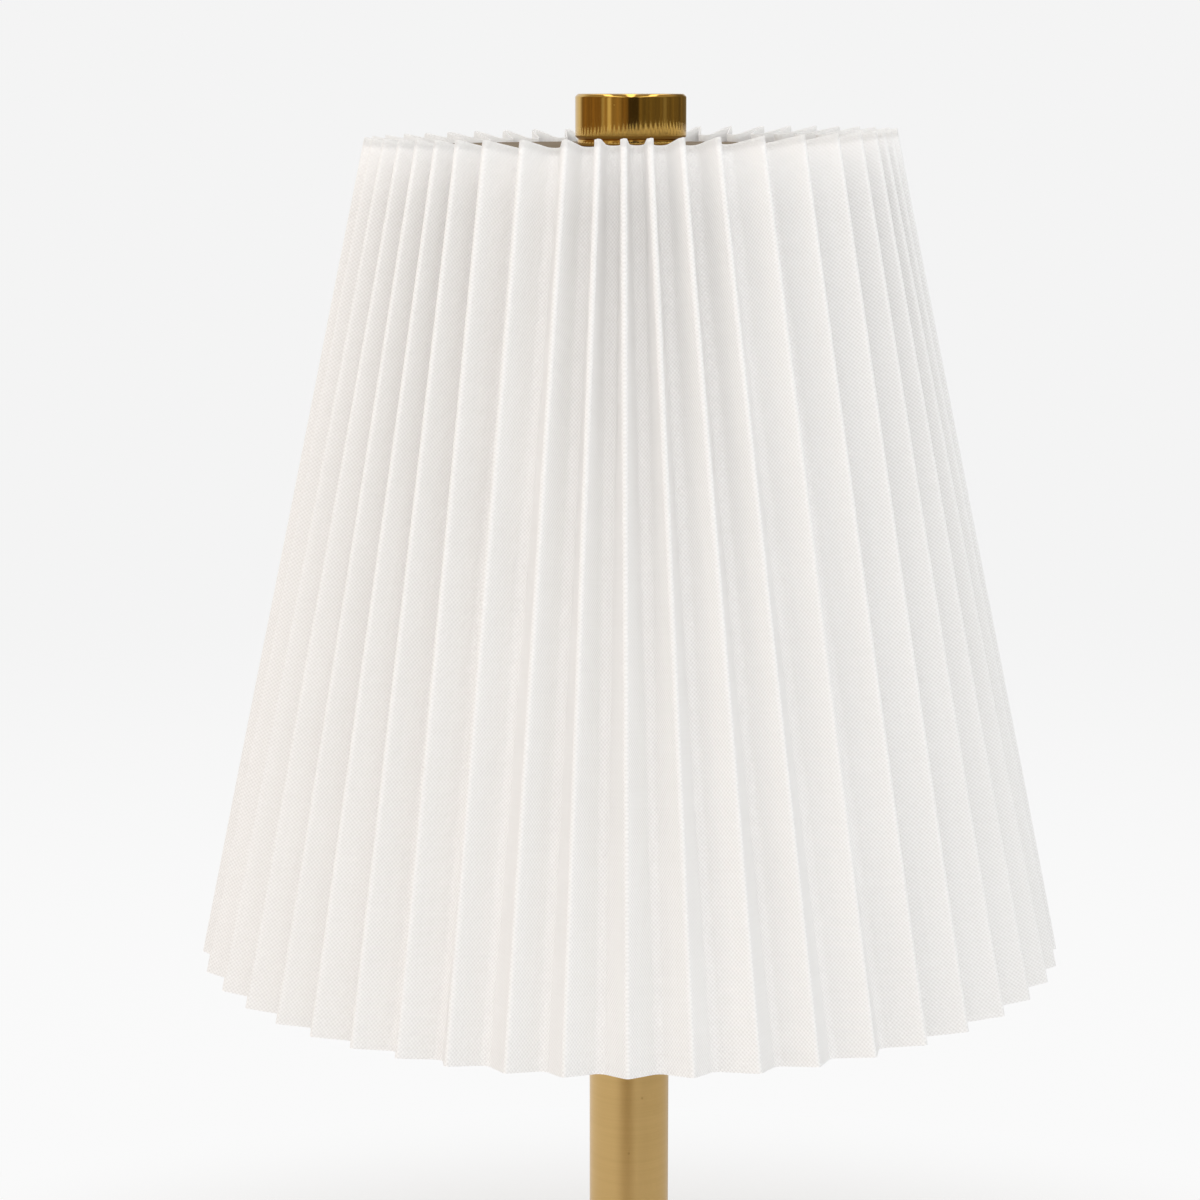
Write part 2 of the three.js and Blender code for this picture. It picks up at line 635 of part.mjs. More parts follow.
function bottomCover() {
  const groove = coverBottom + FOOT_SUNK;
  let cover = solid(turned([
    [0, coverBottom],
    [footInner - FIT, coverBottom],
    [footInner - FIT, groove],
    [footOuter + FIT, groove],
    [footOuter + FIT, coverBottom],
    [coverRadius, coverBottom],
    [coverRadius, coverTop],
    [0, coverTop],
  ], FACETS_LARGE));
  const tray = [BATTERY_LENGTH + 2 * FIT, BATTERY_WIDTH + 2 * FIT];
  const rooted = coverTop - COVER_THICKNESS / 2;
  const wall = [rooted, coverTop + TRAY_HEIGHT, 0, batteryMiddle];
  const outside = solid(box(tray[0] + 2 * TRAY_WALL, tray[1] + 2 * TRAY_WALL, ...wall));
  const inside = solid(box(...tray, coverTop, coverTop + 2 * TRAY_HEIGHT, 0, batteryMiddle));
  cover = cover.add(outside.subtract(inside));
  const post = solid(disc(BOARD_POST_DIAMETER / 2, rooted, boardBottom, FACETS_SMALL));
  const pilotLow = boardTop - BOARD_SCREW_LENGTH - 2 * FIT;
  const pilot = solid(disc(smallScrewHole, pilotLow, boardTop, FACETS_SMALL));
  [-boardScrewX, boardScrewX].forEach((x) => {
    cover = cover.add(post.translate(x, boardScrewY, 0)).subtract(pilot.translate(x, boardScrewY, 0));
  });
  const seat = solid(disc(screwSeatRadius, coverBottom - FIT, screwSeat, FACETS_SMALL));
  const hole = solid(disc(screwHole, coverBottom, coverTop + FIT, FACETS_SMALL));
  screwAngles.forEach((angle) => {
    const place = [...onCircle(screwCircle, angle), 0];
    cover = cover.subtract(seat.translate(place)).subtract(hole.translate(place));
  });
  return cover;
}

function coverScrew() {
  const blank = screw(SCREW_DIAMETER, SCREW_HEAD_DIAMETER, SCREW_HEAD_HEIGHT, SCREW_LENGTH, screwSeat);
  const key = new THREE.CylinderGeometry(SCREW_SOCKET / 2, SCREW_SOCKET / 2, 2 * SCREW_SOCKET_DEPTH, 6);
  const headLow = screwSeat - SCREW_HEAD_HEIGHT;
  return solid(blank).subtract(solid(key.rotateX(Math.PI / 2).translate(0, 0, headLow)));
}

function buildBase() {
  piece('base_shell', baseShell(), BRASS_SATIN);
  piece('bottom_cover', bottomCover(), PLASTIC_DARK);
  piece('foot_ring', ring(footInner, footOuter, 0, coverBottom + FOOT_SUNK, FACETS_LARGE), SILICONE);
  piece('ballast_disc', ring(rodHole, ballastRadius, ballastBottom, baseCeiling, FACETS_MEDIUM), STEEL);
  screwAngles.forEach((angle, i) => {
    const fixing = piece(`cover_screw_${i + 1}`, coverScrew(), STEEL);
    fixing.position.set(...onCircle(screwCircle, angle), 0);
  });
}

function controlBoard() {
  const length = boardOuter - boardInner;
  let board = solid(box(BOARD_WIDTH, length, boardBottom, boardTop, 0, boardInner + length / 2));
  const hole = solid(disc(smallScrewHole, boardBottom - FIT, boardTop + FIT, FACETS_SMALL));
  [-boardScrewX, boardScrewX].forEach((x) => {
    board = board.subtract(hole.translate(x, boardScrewY, 0));
  });
  [[COIL_SIZE, COIL_PLACE], [CHIP_SIZE, CHIP_PLACE]].forEach(([[width, depth, height], [x, y]]) => {
    const low = boardTop - BOARD_THICKNESS / 2;
    board = board.add(solid(box(width, depth, low, boardTop + height, x, boardInner + y)));
  });
  return board;
}

function chargingSocket() {
  const corner = SOCKET_HEIGHT / 2 - FIT;
  const outside = extruded(roundedRectangle(SOCKET_WIDTH, SOCKET_HEIGHT, corner), SOCKET_DEPTH);
  const width = SOCKET_WIDTH - 2 * SOCKET_WALL;
  const height = SOCKET_HEIGHT - 2 * SOCKET_WALL;
  const mouth = roundedRectangle(width, height, corner - SOCKET_WALL);
  const cavity = extruded(mouth, SOCKET_CAVITY + FIT).translate(0, 0, -FIT);
  const tongueBack = SOCKET_CAVITY + (SOCKET_DEPTH - SOCKET_CAVITY) / 2;
  const tongueFront = SOCKET_CAVITY - TONGUE_LENGTH;
  const tongue = box(TONGUE_WIDTH, TONGUE_THICKNESS, tongueFront, tongueBack, 0, 0);
  return solid(outside).subtract(solid(cavity)).add(solid(tongue));
}

function chargeLight() {
  const flangeLow = bayRadius - FIT - LENS_FLANGE;
  const lens = turned([
    [0, flangeLow],
    [LENS_FLANGE_DIAMETER / 2, flangeLow],
    [LENS_FLANGE_DIAMETER / 2, flangeLow + LENS_FLANGE],
    [LENS_DIAMETER / 2, flangeLow + LENS_FLANGE],
    [LENS_DIAMETER / 2, baseRadius - FIT],
    [0, baseRadius - FIT],
  ], FACETS_SMALL);
  return facingOut(lens);
}

function buildElectrics() {
  const cell = extruded(roundedRectangle(BATTERY_LENGTH, BATTERY_WIDTH, BATTERY_CORNER), BATTERY_THICKNESS);
  piece('battery_pack', cell, BATTERY_SILVER).position.set(0, batteryMiddle, coverTop);
  piece('control_board', controlBoard(), BOARD_GREEN);
  [-boardScrewX, boardScrewX].forEach((x, i) => {
    const fixing = smallScrew(BOARD_SCREW_LENGTH, -boardTop);
    piece(`board_screw_${i + 1}`, fixing.rotateX(Math.PI), STEEL).position.set(x, boardScrewY, 0);
  });
  const socket = piece('usb_c_socket', chargingSocket(), STEEL);
  socket.rotation.x = Math.PI / 2;
  socket.position.set(0, socketFront, socketMiddle);
  piece('charge_light', chargeLight(), LENS_CLEAR);
}

// The light's lead runs under the board, up the rod and out through the slot to the LED board.
// The battery's lead runs round the nut and onto the board.
function buildLeads() {
  const low = coverTop + LED_LEAD_DIAMETER / 2 + FIT;
  const high = ledBoardBottom - LED_LEAD_DIAMETER / 2 - FIT;
  const lightRoute = [
    [0, 26, low],
    [0, 16, low],
    [0, 8, low],
    [0, 3.4, low + 0.6],
    [0, 0.9, low + 2.4],
    [0, 0.1, low + 5.5],
    [0, 0, low + 10],
    [0, 0, (low + high) / 2],
    [0, 0, high - 15],
    [0, 0, high - 9],
    [0, 0.9, high - 5.4],
    [0, 3.6, high - 3.4],
    [0, 7.4, high - 2.6],
    [0, 10.6, high - 1.2],
    [0, 13.6, high],
  ];
  piece('led_lead', lead(lightRoute, LED_LEAD_DIAMETER), LEAD_BLACK);
  const start = batteryInner + FIT;
  const onBoard = boardTop + BATTERY_LEAD_DIAMETER / 2 + FIT;
  const batteryRoute = [
    [18, start, onBoard],
    [18, start + 5, onBoard],
    [18, start + 14, onBoard],
    [17.5, boardInner + 3, onBoard],
    [15, boardInner + 9, onBoard],
    [9.5, boardInner + 12, onBoard],
  ];
  piece('battery_lead', lead(batteryRoute, BATTERY_LEAD_DIAMETER), LEAD_BLACK);
}

buildBase();
buildElectrics();
buildStem();
buildLightHead();
buildKnob();
buildShade();
buildLeads();

export default lamp;
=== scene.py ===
"""Cordless table lamp: the fine form and the finish of every piece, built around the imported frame.

Metres, +Z up. The camera stands in front and looks along +Y, and the charging socket is at the back.
"""

import logging
import math
from collections.abc import Sequence
from dataclasses import dataclass
from enum import Enum
from functools import cache
from random import Random
from typing import Protocol

import bmesh
import bpy
from mathutils import Euler, Matrix, Vector, noise


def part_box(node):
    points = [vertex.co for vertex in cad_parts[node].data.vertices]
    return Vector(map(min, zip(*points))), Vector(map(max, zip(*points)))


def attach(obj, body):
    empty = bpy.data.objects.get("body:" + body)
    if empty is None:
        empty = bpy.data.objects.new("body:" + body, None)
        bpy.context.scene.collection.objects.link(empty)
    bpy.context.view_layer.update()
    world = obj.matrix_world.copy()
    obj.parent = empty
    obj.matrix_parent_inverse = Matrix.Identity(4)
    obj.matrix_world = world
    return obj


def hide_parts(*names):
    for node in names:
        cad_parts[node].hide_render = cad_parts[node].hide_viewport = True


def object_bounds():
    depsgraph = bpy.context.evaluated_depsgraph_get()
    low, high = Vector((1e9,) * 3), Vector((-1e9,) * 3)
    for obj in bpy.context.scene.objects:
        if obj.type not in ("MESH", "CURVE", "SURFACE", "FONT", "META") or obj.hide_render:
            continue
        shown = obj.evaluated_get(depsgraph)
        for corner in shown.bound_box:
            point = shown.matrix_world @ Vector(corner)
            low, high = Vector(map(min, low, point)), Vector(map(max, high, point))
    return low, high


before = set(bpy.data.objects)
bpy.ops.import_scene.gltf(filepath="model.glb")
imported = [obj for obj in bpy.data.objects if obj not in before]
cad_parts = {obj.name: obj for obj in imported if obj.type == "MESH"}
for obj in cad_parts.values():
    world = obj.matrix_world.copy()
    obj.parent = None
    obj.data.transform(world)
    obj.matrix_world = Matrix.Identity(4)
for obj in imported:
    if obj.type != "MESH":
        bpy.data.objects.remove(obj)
cad_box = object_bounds()

log = logging.getLogger("lamp")

MM = 0.001
TURN = 2.0 * math.pi
SHARP_ANGLE = math.radians(38.0)
FACETS = 128
SMALL_FACETS = 48
ARC_STEPS = 6
TONE_LOW = 0.25
TONE_HIGH = 0.75
FINE_DETAIL = 3.0
MIX_LOW = 6
MIX_HIGH = 7
MIX_RESULT = 2
GRAIN_MAP = "Grain"
WEAVE_MAP = "Weave"
WHITE = (1.0, 1.0, 1.0)

Colour = tuple[float, float, float]
Point = tuple[float, float, float]
Outline = list[tuple[float, float]]


class Body(Enum):
    """The bodies of the frame that a piece can ride on."""

    LAMP = "lamp_body"
    SHADE_SEAT = "shade_seat"
    SHADE = "shade"
    KNOB_SEAT = "knob_seat"
    KNOB = "knob"


class Slot(Enum):
    """The record's material slots."""

    BRASS_SATIN = "brass_satin"
    BRASS_POLISHED = "brass_polished"
    FABRIC_WHITE = "fabric_white"
    PLATE_TAUPE = "plate_taupe"
    STEEL = "steel"
    ALUMINIUM = "aluminium"
    SILICONE = "silicone"
    OPAL = "opal"
    PLASTIC_DARK = "plastic_dark"
    BOARD_GREEN = "board_green"
    BOARD_WHITE = "board_white"
    LED_PHOSPHOR = "led_phosphor"
    BATTERY_FOIL = "battery_foil"
    LENS_CLEAR = "lens_clear"
    LEAD_BLACK = "lead_black"


class Term:
    """A value on its way to a shader. Its operators add Math nodes to the recipe that it belongs to."""

    def __init__(self, recipe: "Recipe", socket: bpy.types.NodeSocket | None) -> None:
        """Wraps an output socket of one of the recipe's nodes."""
        self.recipe = recipe
        self.socket = socket

    def _math(self, operation: str, *values: "Term | float") -> "Term":
        """Adds one Math node that takes the values in order."""
        return self.recipe.add("ShaderNodeMath", {"operation": operation}, dict(enumerate(values)))

    def __add__(self, other: "Term | float") -> "Term":
        """Sum."""
        return self._math("ADD", self, other)

    def __radd__(self, other: float) -> "Term":
        """Sum with the number first."""
        return self._math("ADD", other, self)

    def __sub__(self, other: "Term | float") -> "Term":
        """Difference."""
        return self._math("SUBTRACT", self, other)

    def __rsub__(self, other: float) -> "Term":
        """Difference with the number first."""
        return self._math("SUBTRACT", other, self)

    def __mul__(self, other: "Term | float") -> "Term":
        """Product."""
        return self._math("MULTIPLY", self, other)

    def __rmul__(self, other: float) -> "Term":
        """Product with the number first."""
        return self._math("MULTIPLY", other, self)

    def __truediv__(self, other: "Term | float") -> "Term":
        """Quotient."""
        return self._math("DIVIDE", self, other)

    def __rtruediv__(self, other: float) -> "Term":
        """Quotient with the number first."""
        return self._math("DIVIDE", other, self)

    def __abs__(self) -> "Term":
        """Size without sign."""
        return self._math("ABSOLUTE", self)

    def sine(self) -> "Term":
        """Sine of an angle in radians."""
        return self._math("SINE", self)

    def angle_from(self, other: "Term") -> "Term":
        """Angle whose tangent is this over the other, in radians."""
        return self._math("ARCTAN2", self, other)

    def largest(self, other: "Term | float") -> "Term":
        """The larger of two values."""
        return self._math("MAXIMUM", self, other)

    def step(self, low: float, high: float) -> "Term":
        """Smooth step from 0 at low to 1 at high."""
        inputs = {"Value": self, "From Min": low, "From Max": high}
        return self.recipe.add("ShaderNodeMapRange", {"interpolation_type": "SMOOTHSTEP"}, inputs)


class Recipe:
    """The node tree of a material or of the world, filled node by node."""

    def __init__(self, owner: bpy.types.Material | bpy.types.World) -> None:
        """Empties the owner's node tree and keeps it.

        Args:
            owner: the material or the world.
        """
        owner.use_nodes = True
        self.owner = owner
        self.tree = owner.node_tree
        self.tree.nodes.clear()

    def add(
        self,
        kind: str,
        settings: dict[str, object] | None = None,
        inputs: dict[str | int, object] | None = None,
        output: str | int = 0,
    ) -> Term:
        """Adds one node.

        Args:
            kind: the node's type.
            settings: the node's own attributes, set before its sockets.
            inputs: for each socket, by name or number, a value or the term that is linked to it.
            output: the socket that the result reads.

        Returns:
            The value of that output.
        """
        node = self.tree.nodes.new(kind)
        for name, value in (settings or {}).items():
            setattr(node, name, value)
        for key, value in (inputs or {}).items():
            socket = node.inputs[key]
            if isinstance(value, Term):
                self.tree.links.new(value.socket, socket)
            elif socket.type == "RGBA":
                socket.default_value = (*value, 1.0)
            else:
                socket.default_value = value
        return Term(self, node.outputs[output] if node.outputs else None)

    def axes(self, vector: Term) -> list[Term]:
        """The X, Y and Z of a vector."""
        node = self.add("ShaderNodeSeparateXYZ", inputs={0: vector}).socket.node
        return [Term(self, socket) for socket in node.outputs]

    def vector(self, x: Term | float, y: Term | float, z: Term | float) -> Term:
        """A vector from three values."""
        return self.add("ShaderNodeCombineXYZ", inputs={0: x, 1: y, 2: z})

    def place(self) -> Term:
        """Where a point lies on the lamp at rest, in metres."""
        return self.add("ShaderNodeTexCoord", output="Object")

    def laid_flat(self, name: str) -> list[Term]:
        """A point's place on a named map, in metres along and across."""
        return self.axes(self.add("ShaderNodeUVMap", {"uv_map": name}))[:2]

    def mottle(self, vector: Term, scale: float, detail: float = 2.0) -> Term:
        """Noise about a half, at a scale in waves to the metre."""
        return self.add("ShaderNodeTexNoise", inputs={"Vector": vector, "Scale": scale, "Detail": detail})

    def blend(self, share: Term | float, low: Term | Colour, high: Term | Colour) -> Term:
        """Colour between low, at a share of 0, and high, at 1."""
        inputs = {0: share, MIX_LOW: low, MIX_HIGH: high}
        return self.add("ShaderNodeMix", {"data_type": "RGBA"}, inputs, MIX_RESULT)

    def bump(self, height: Term, depth: float, strength: float) -> Term:
        """Normal of a surface that rises by a depth in metres where the height goes from 0 to 1."""
        inputs = {"Height": height, "Distance": depth, "Strength": strength}
        return self.add("ShaderNodeBump", inputs=inputs)

    def surface(self, **sockets: Term | float | Colour) -> Term:
        """Principled shader; an underscore in a name stands for a space."""
        inputs = {name.replace("_", " "): value for name, value in sockets.items()}
        return self.add("ShaderNodeBsdfPrincipled", inputs=inputs)

    def close(self, shader: Term) -> None:
        """Sends a shader to the output."""
        kind = "World" if isinstance(self.owner, bpy.types.World) else "Material"
        self.add(f"ShaderNodeOutput{kind}", inputs={"Surface": shader})

    def seen_rays(self) -> Term:
        """Tells rays that look from rays that light.

        Returns:
            1 for rays from the camera, from gloss and through glass, and 0 for light on its way.
        """
        rays = [f"Is {kind} Ray" for kind in ("Camera", "Glossy", "Transmission")]
        camera, glossy, through = (self.add("ShaderNodeLightPath", output=ray) for ray in rays)
        return camera.largest(glossy).largest(through)


class Finish(Protocol):
    """What every finish offers."""

    slot: Slot

    def mix(self, recipe: Recipe) -> None:
        """Fills a recipe with the finish's nodes."""


@cache
def material_of(finish: Finish) -> bpy.types.Material:
    """Finds the material of a finish.

    Args:
        finish: the finish.

    Returns:
        The one material of that finish, made at its first use.
    """
    recipe = Recipe(bpy.data.materials.new(finish.slot.value))
    finish.mix(recipe)
    return recipe.owner


@dataclass(frozen=True)
class TurnedBrass:
    """Brass worked round its axis: fine lines along the turning, faint clouds and a few dark specks."""

    slot: Slot
    light: Colour
    dark: Colour
    roughness: float
    line_roughness: float
    line_depth: float
    line_relief: float = 0.35
    anisotropy: float = 0.0
    across_lines: float = 0.25
    lines: float = 5200.0
    bands: float = 900.0
    clouds: float = 55.0
    cloud_roughness: float = 0.08
    along: float = 45.0
    band_tone: float = 0.25
    cloud_tone: float = 0.45
    line_tone: float = 0.30
    speck_cells: float = 380.0
    speck_size: float = 0.11
    speck_share: float = 0.86
    speck_edge: float = 0.02
    speck_tone: float = 0.45
    speck_roughness: float = 0.25

    def mix(self, recipe: Recipe) -> None:
        """Fills a recipe with the brass's nodes.

        Args:
            recipe: the recipe of the brass's material.
        """
        place = recipe.place()
        x, y, _ = recipe.axes(place)
        _, run = recipe.laid_flat(GRAIN_MAP)
        around = (x * self.along, y * self.along)
        lines = recipe.mottle(recipe.vector(*around, run * self.lines), 1.0, FINE_DETAIL)
        bands = recipe.mottle(recipe.vector(*around, run * self.bands), 1.0)
        clouds = recipe.mottle(place, self.clouds, FINE_DETAIL)
        cells = {"Vector": place, "Scale": self.speck_cells}
        near = recipe.add("ShaderNodeTexVoronoi", inputs=cells)
        chance = recipe.axes(recipe.add("ShaderNodeTexVoronoi", inputs=cells, output="Color"))[0]
        speck = 1.0 - near.step(0.5 * self.speck_size, self.speck_size)
        speck = speck * chance.step(self.speck_share, self.speck_share + self.speck_edge)
        tone = bands * self.band_tone + clouds * self.cloud_tone + lines * self.line_tone
        tone = tone - speck * self.speck_tone
        roughness = self.roughness + (lines - 0.5) * self.line_roughness
        roughness = roughness + (clouds - 0.5) * self.cloud_roughness
        recipe.close(
            recipe.surface(
                Base_Color=recipe.blend(tone.step(TONE_LOW, TONE_HIGH), self.dark, self.light),
                Metallic=1.0,
                Roughness=roughness + speck * self.speck_roughness,
                Anisotropic=self.anisotropy,
                Anisotropic_Rotation=self.across_lines,
                Normal=recipe.bump(lines, self.line_depth, self.line_relief),
            )
        )


@dataclass(frozen=True)
class PleatCloth:
    """White plain weave on a smooth backing, with a band of painted light below the top hem; its free rim
    lets light through.
    """

    slot: Slot = Slot.FABRIC_WHITE
    light: Colour = (0.998, 0.997, 0.994)
    dark: Colour = (0.862, 0.858, 0.850)
    tone_low: float = 0.1
    tone_high: float = 0.8
    through: Colour = (0.97, 0.965, 0.955)
    share_through: float = 0.03
    thread: float = 0.74 * MM
    slub_along: float = 35.0
    slub_across: float = 2000.0
    weft_slice: float = 7.0
    clouds: float = 40.0
    weave_tone: float = 0.55
    slub_tone: float = 0.30
    cloud_tone: float = 0.15
    weave_depth: float = 0.11 * MM
    weave_height: float = 0.75
    slub_height: float = 0.25
    relief: float = 0.7
    roughness: float = 0.72
    weave_roughness: float = 0.12
    sheen: float = 0.05
    sheen_roughness: float = 0.4
    # painted light: a whiter band of cloth colour below the top hem, for the light that reaches it from
    # above and through the rim
    band: float = 13.0 * MM
    band_start: float = 0.2
    painted_light_white: float = 0.8
    rim: float = 1.7 * MM
    rim_start: float = 0.3
    rim_through: float = 0.55

    def mix(self, recipe: Recipe) -> None:
        """Fills a recipe with the cloth's nodes.

        Args:
            recipe: the recipe of the cloth's material.
        """
        along, across = recipe.laid_flat(WEAVE_MAP)
        turn = TURN / self.thread
        weave = (along * turn).sine() * (across * turn).sine() * 0.5 + 0.5
        warp = recipe.mottle(recipe.vector(along * self.slub_across, across * self.slub_along, 0.0), 1.0)
        weft_place = recipe.vector(along * self.slub_along, across * self.slub_across, self.weft_slice)
        weft = recipe.mottle(weft_place, 1.0)
        clouds = recipe.mottle(recipe.vector(along, across, 0.0), self.clouds, FINE_DETAIL)
        slubs = warp * 0.5 + weft * 0.5
        tone = weave * self.weave_tone + slubs * self.slub_tone + clouds * self.cloud_tone
        inside = (across * -1.0).step(0.0, self.thread)
        down = abs(across)
        # painted light: the base colour turns whiter just below the top hem, where light falls in from
        # above and through the thin rim
        painted_top_light = (1.0 - down.step(self.band_start * self.band, self.band)) * self.painted_light_white
        free = 1.0 - down.step(self.rim_start * self.rim, self.rim)
        colour = recipe.blend(tone.step(self.tone_low, self.tone_high), self.dark, self.light)
        height = (weave * self.weave_height + slubs * self.slub_height) * (1.0 - inside)
        normal = recipe.bump(height, self.weave_depth, self.relief)
        face = recipe.surface(
            Base_Color=recipe.blend(inside.largest(painted_top_light), colour, self.light),
            Roughness=self.roughness + (weave - 0.5) * self.weave_roughness,
            Sheen_Weight=self.sheen,
            Sheen_Roughness=self.sheen_roughness,
            Normal=normal,
        )
        glow = recipe.add("ShaderNodeBsdfTranslucent", inputs={"Color": self.through, "Normal": normal})
        share = self.share_through + free * self.rim_through
        recipe.close(recipe.add("ShaderNodeMixShader", inputs={0: share, 1: face, 2: glow}))


@dataclass(frozen=True)
class Surface:
    """A plain worked surface: two close tones, mottled, with a fine grain in its relief and its gloss."""

    slot: Slot
    light: Colour
    dark: Colour
    roughness: float
    metallic: float = 0.0
    coat: float = 0.0
    grain: float = 2600.0
    grain_depth: float = 0.02 * MM
    grain_relief: float = 0.4
    grain_tone: float = 0.4
    clouds: float = 120.0
    cloud_tone: float = 0.6
    gloss_change: float = 0.12
    specular: float = 0.5

    def mix(self, recipe: Recipe) -> None:
        """Fills a recipe with the surface's nodes.

        Args:
            recipe: the recipe of the surface's material.
        """
        place = recipe.place()
        grain = recipe.mottle(place, self.grain)
        clouds = recipe.mottle(place, self.clouds, FINE_DETAIL)
        tone = grain * self.grain_tone + clouds * self.cloud_tone
        recipe.close(
            recipe.surface(
                Base_Color=recipe.blend(tone.step(TONE_LOW, TONE_HIGH), self.dark, self.light),
                Roughness=self.roughness + (clouds - 0.5) * self.gloss_change,
                Metallic=self.metallic,
                Coat_Weight=self.coat,
                Specular_IOR_Level=self.specular,
                Normal=recipe.bump(grain, self.grain_depth, self.grain_relief),
            )
        )


SATIN_BRASS = TurnedBrass(
    Slot.BRASS_SATIN, (0.68, 0.465, 0.195), (0.60, 0.40, 0.158), 0.34, 0.14, 0.008 * MM, anisotropy=0.4
)
POLISHED_BRASS = TurnedBrass(
    Slot.BRASS_POLISHED, (0.76, 0.49, 0.135), (0.68, 0.425, 0.105), 0.085, 0.05, 0.003 * MM, lines=9000.0
)
CLOTH = PleatCloth()
LACQUER = Surface(
    Slot.PLATE_TAUPE, (0.262, 0.220, 0.166), (0.228, 0.188, 0.140), 0.45, grain=900.0, specular=0.0
)
STEEL = Surface(Slot.STEEL, (0.60, 0.60, 0.59), (0.46, 0.46, 0.45), 0.34, 1.0)
ALUMINIUM = Surface(Slot.ALUMINIUM, (0.66, 0.67, 0.68), (0.55, 0.56, 0.57), 0.42, 1.0)
SILICONE = Surface(Slot.SILICONE, (0.045, 0.045, 0.047), (0.028, 0.028, 0.030), 0.78, grain=1800.0)
OPAL = Surface(
    Slot.OPAL, (0.86, 0.855, 0.83), (0.82, 0.81, 0.78), 0.42, grain=1500.0, grain_depth=0.008 * MM
)
DARK_PLASTIC = Surface(Slot.PLASTIC_DARK, (0.034, 0.034, 0.036), (0.020, 0.020, 0.022), 0.55, grain=1600.0)
GREEN_BOARD = Surface(Slot.BOARD_GREEN, (0.020, 0.115, 0.055), (0.012, 0.080, 0.038), 0.38, coat=0.3)
WHITE_BOARD = Surface(Slot.BOARD_WHITE, (0.84, 0.84, 0.82), (0.78, 0.78, 0.76), 0.45)
PHOSPHOR = Surface(Slot.LED_PHOSPHOR, (0.87, 0.68, 0.13), (0.80, 0.60, 0.09), 0.40)
FOIL = Surface(Slot.BATTERY_FOIL, (0.52, 0.53, 0.54), (0.42, 0.43, 0.44), 0.36, 0.7)
LENS = Surface(
    Slot.LENS_CLEAR, (0.80, 0.83, 0.84), (0.72, 0.76, 0.78), 0.12, coat=0.8, grain_depth=0.004 * MM
)
SHEATH = Surface(Slot.LEAD_BLACK, (0.018, 0.018, 0.019), (0.011, 0.011, 0.012), 0.5)


@dataclass(frozen=True)
class Corner:
    """One corner of a turned profile, with the radius of its rounding."""

    radius: float
    height: float
    fillet: float = 0.0


@dataclass(frozen=True)
class Span:
    """Where a turned node lies: its heights and its outer radius."""

    low: float
    high: float
    radius: float

    @classmethod
    def of(cls, node: str) -> "Span":
        """Reads a node's span from the frame."""
        lowest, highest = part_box(node)
        return cls(lowest.z, highest.z, max(highest.x, highest.y))


def rounded(corners: Sequence[Corner], closed: bool) -> Outline:
    """Turns the filleted corners of a profile into arcs.

    Args:
        corners: the profile's corners in order.
        closed: whether the last corner joins the first.

    Returns:
        Points of radius and height.
    """
    outline: Outline = []
    for i, corner in enumerate(corners):
        at = Vector((corner.radius, corner.height))
        if corner.fillet == 0.0 or (not closed and i in (0, len(corners) - 1)):
            outline.append(at.to_tuple())
            continue
        before, after = (corners[j % len(corners)] for j in (i - 1, i + 1))
        back = (Vector((before.radius, before.height)) - at).normalized()
        on = (Vector((after.radius, after.height)) - at).normalized()
        half = back.angle(on) / 2.0
        centre = at + (back + on).normalized() * corner.fillet / math.sin(half)
        start = at + back * corner.fillet / math.tan(half) - centre
        sweep = start.angle_signed(at + on * corner.fillet / math.tan(half) - centre)
        for step in range(ARC_STEPS + 1):
            turn = Matrix.Rotation(-sweep * step / ARC_STEPS, 2)
            outline.append((centre + turn @ start).to_tuple())
    return outline


def placed(name: str, mesh: bpy.types.Mesh) -> bpy.types.Object:
    """Puts a mesh in the scene with smooth faces and sharp corners.

    Args:
        name: the object's name.
        mesh: its mesh.

    Returns:
        The object.
    """
    mesh.shade_smooth()
    mesh.set_sharp_from_angle(angle=SHARP_ANGLE)
    piece = bpy.data.objects.new(name, mesh)
    bpy.context.scene.collection.objects.link(piece)
    return piece


def made(name: str, form: bmesh.types.BMesh) -> bpy.types.Object:
    """Turns a finished form into an object with its faces pointing out.

    Args:
        name: the object's name.
        form: the form, which is used up.

    Returns:
        The object.
    """
    bmesh.ops.recalc_face_normals(form, faces=form.faces)
    mesh = bpy.data.meshes.new(name)
    form.to_mesh(mesh)
    form.free()
    return placed(name, mesh)


def turned(name: str, corners: Sequence[Corner], facets: int = FACETS) -> bpy.types.Object:
    """Turns a profile about the lamp's axis.

    Args:
        name: the object's name.
        corners: the profile; it closes on itself unless it starts on the axis.
        facets: sides round the axis.

    Returns:
        The object, with a map of the way round and the way along the profile.
    """
    closed = corners[0].radius > 0.0
    outline = rounded(corners, closed)
    count = len(outline)
    form = bmesh.new()
    grain = form.loops.layers.uv.new(GRAIN_MAP)
    rings = []
    for radius, height in outline:
        angles = [TURN * i / facets for i in range(facets)] if radius > 0.0 else [0.0]
        spots = [(radius * math.cos(angle), radius * math.sin(angle), height) for angle in angles]
        rings.append([form.verts.new(spot) for spot in spots])
    lengths = [0.0]
    for i in range(count):
        step = Vector(outline[(i + 1) % count]) - Vector(outline[i])
        lengths.append(lengths[-1] + step.length)
    girth = TURN * max(radius for radius, _ in outline)
    for row in range(count if closed else count - 1):
        for i in range(facets):
            found = {}
            for line, way in ((row, i), (row, i + 1), (row + 1, i + 1), (row + 1, i)):
                ring = rings[line % count]
                found.setdefault(ring[way % len(ring)], (girth * way / facets, lengths[line]))
            face = form.faces.new(found)
            for loop in face.loops:
                loop[grain].uv = found[loop.vert]
    return made(name, form)


def eased_ring(name: str, span: Span, bore: float, ease: float) -> bpy.types.Object:
    """Turns a plain ring with eased edges in a span, round a bore."""
    corners = [(bore, span.low), (span.radius, span.low), (span.radius, span.high), (bore, span.high)]
    return turned(name, [Corner(radius, height, ease) for radius, height in corners])


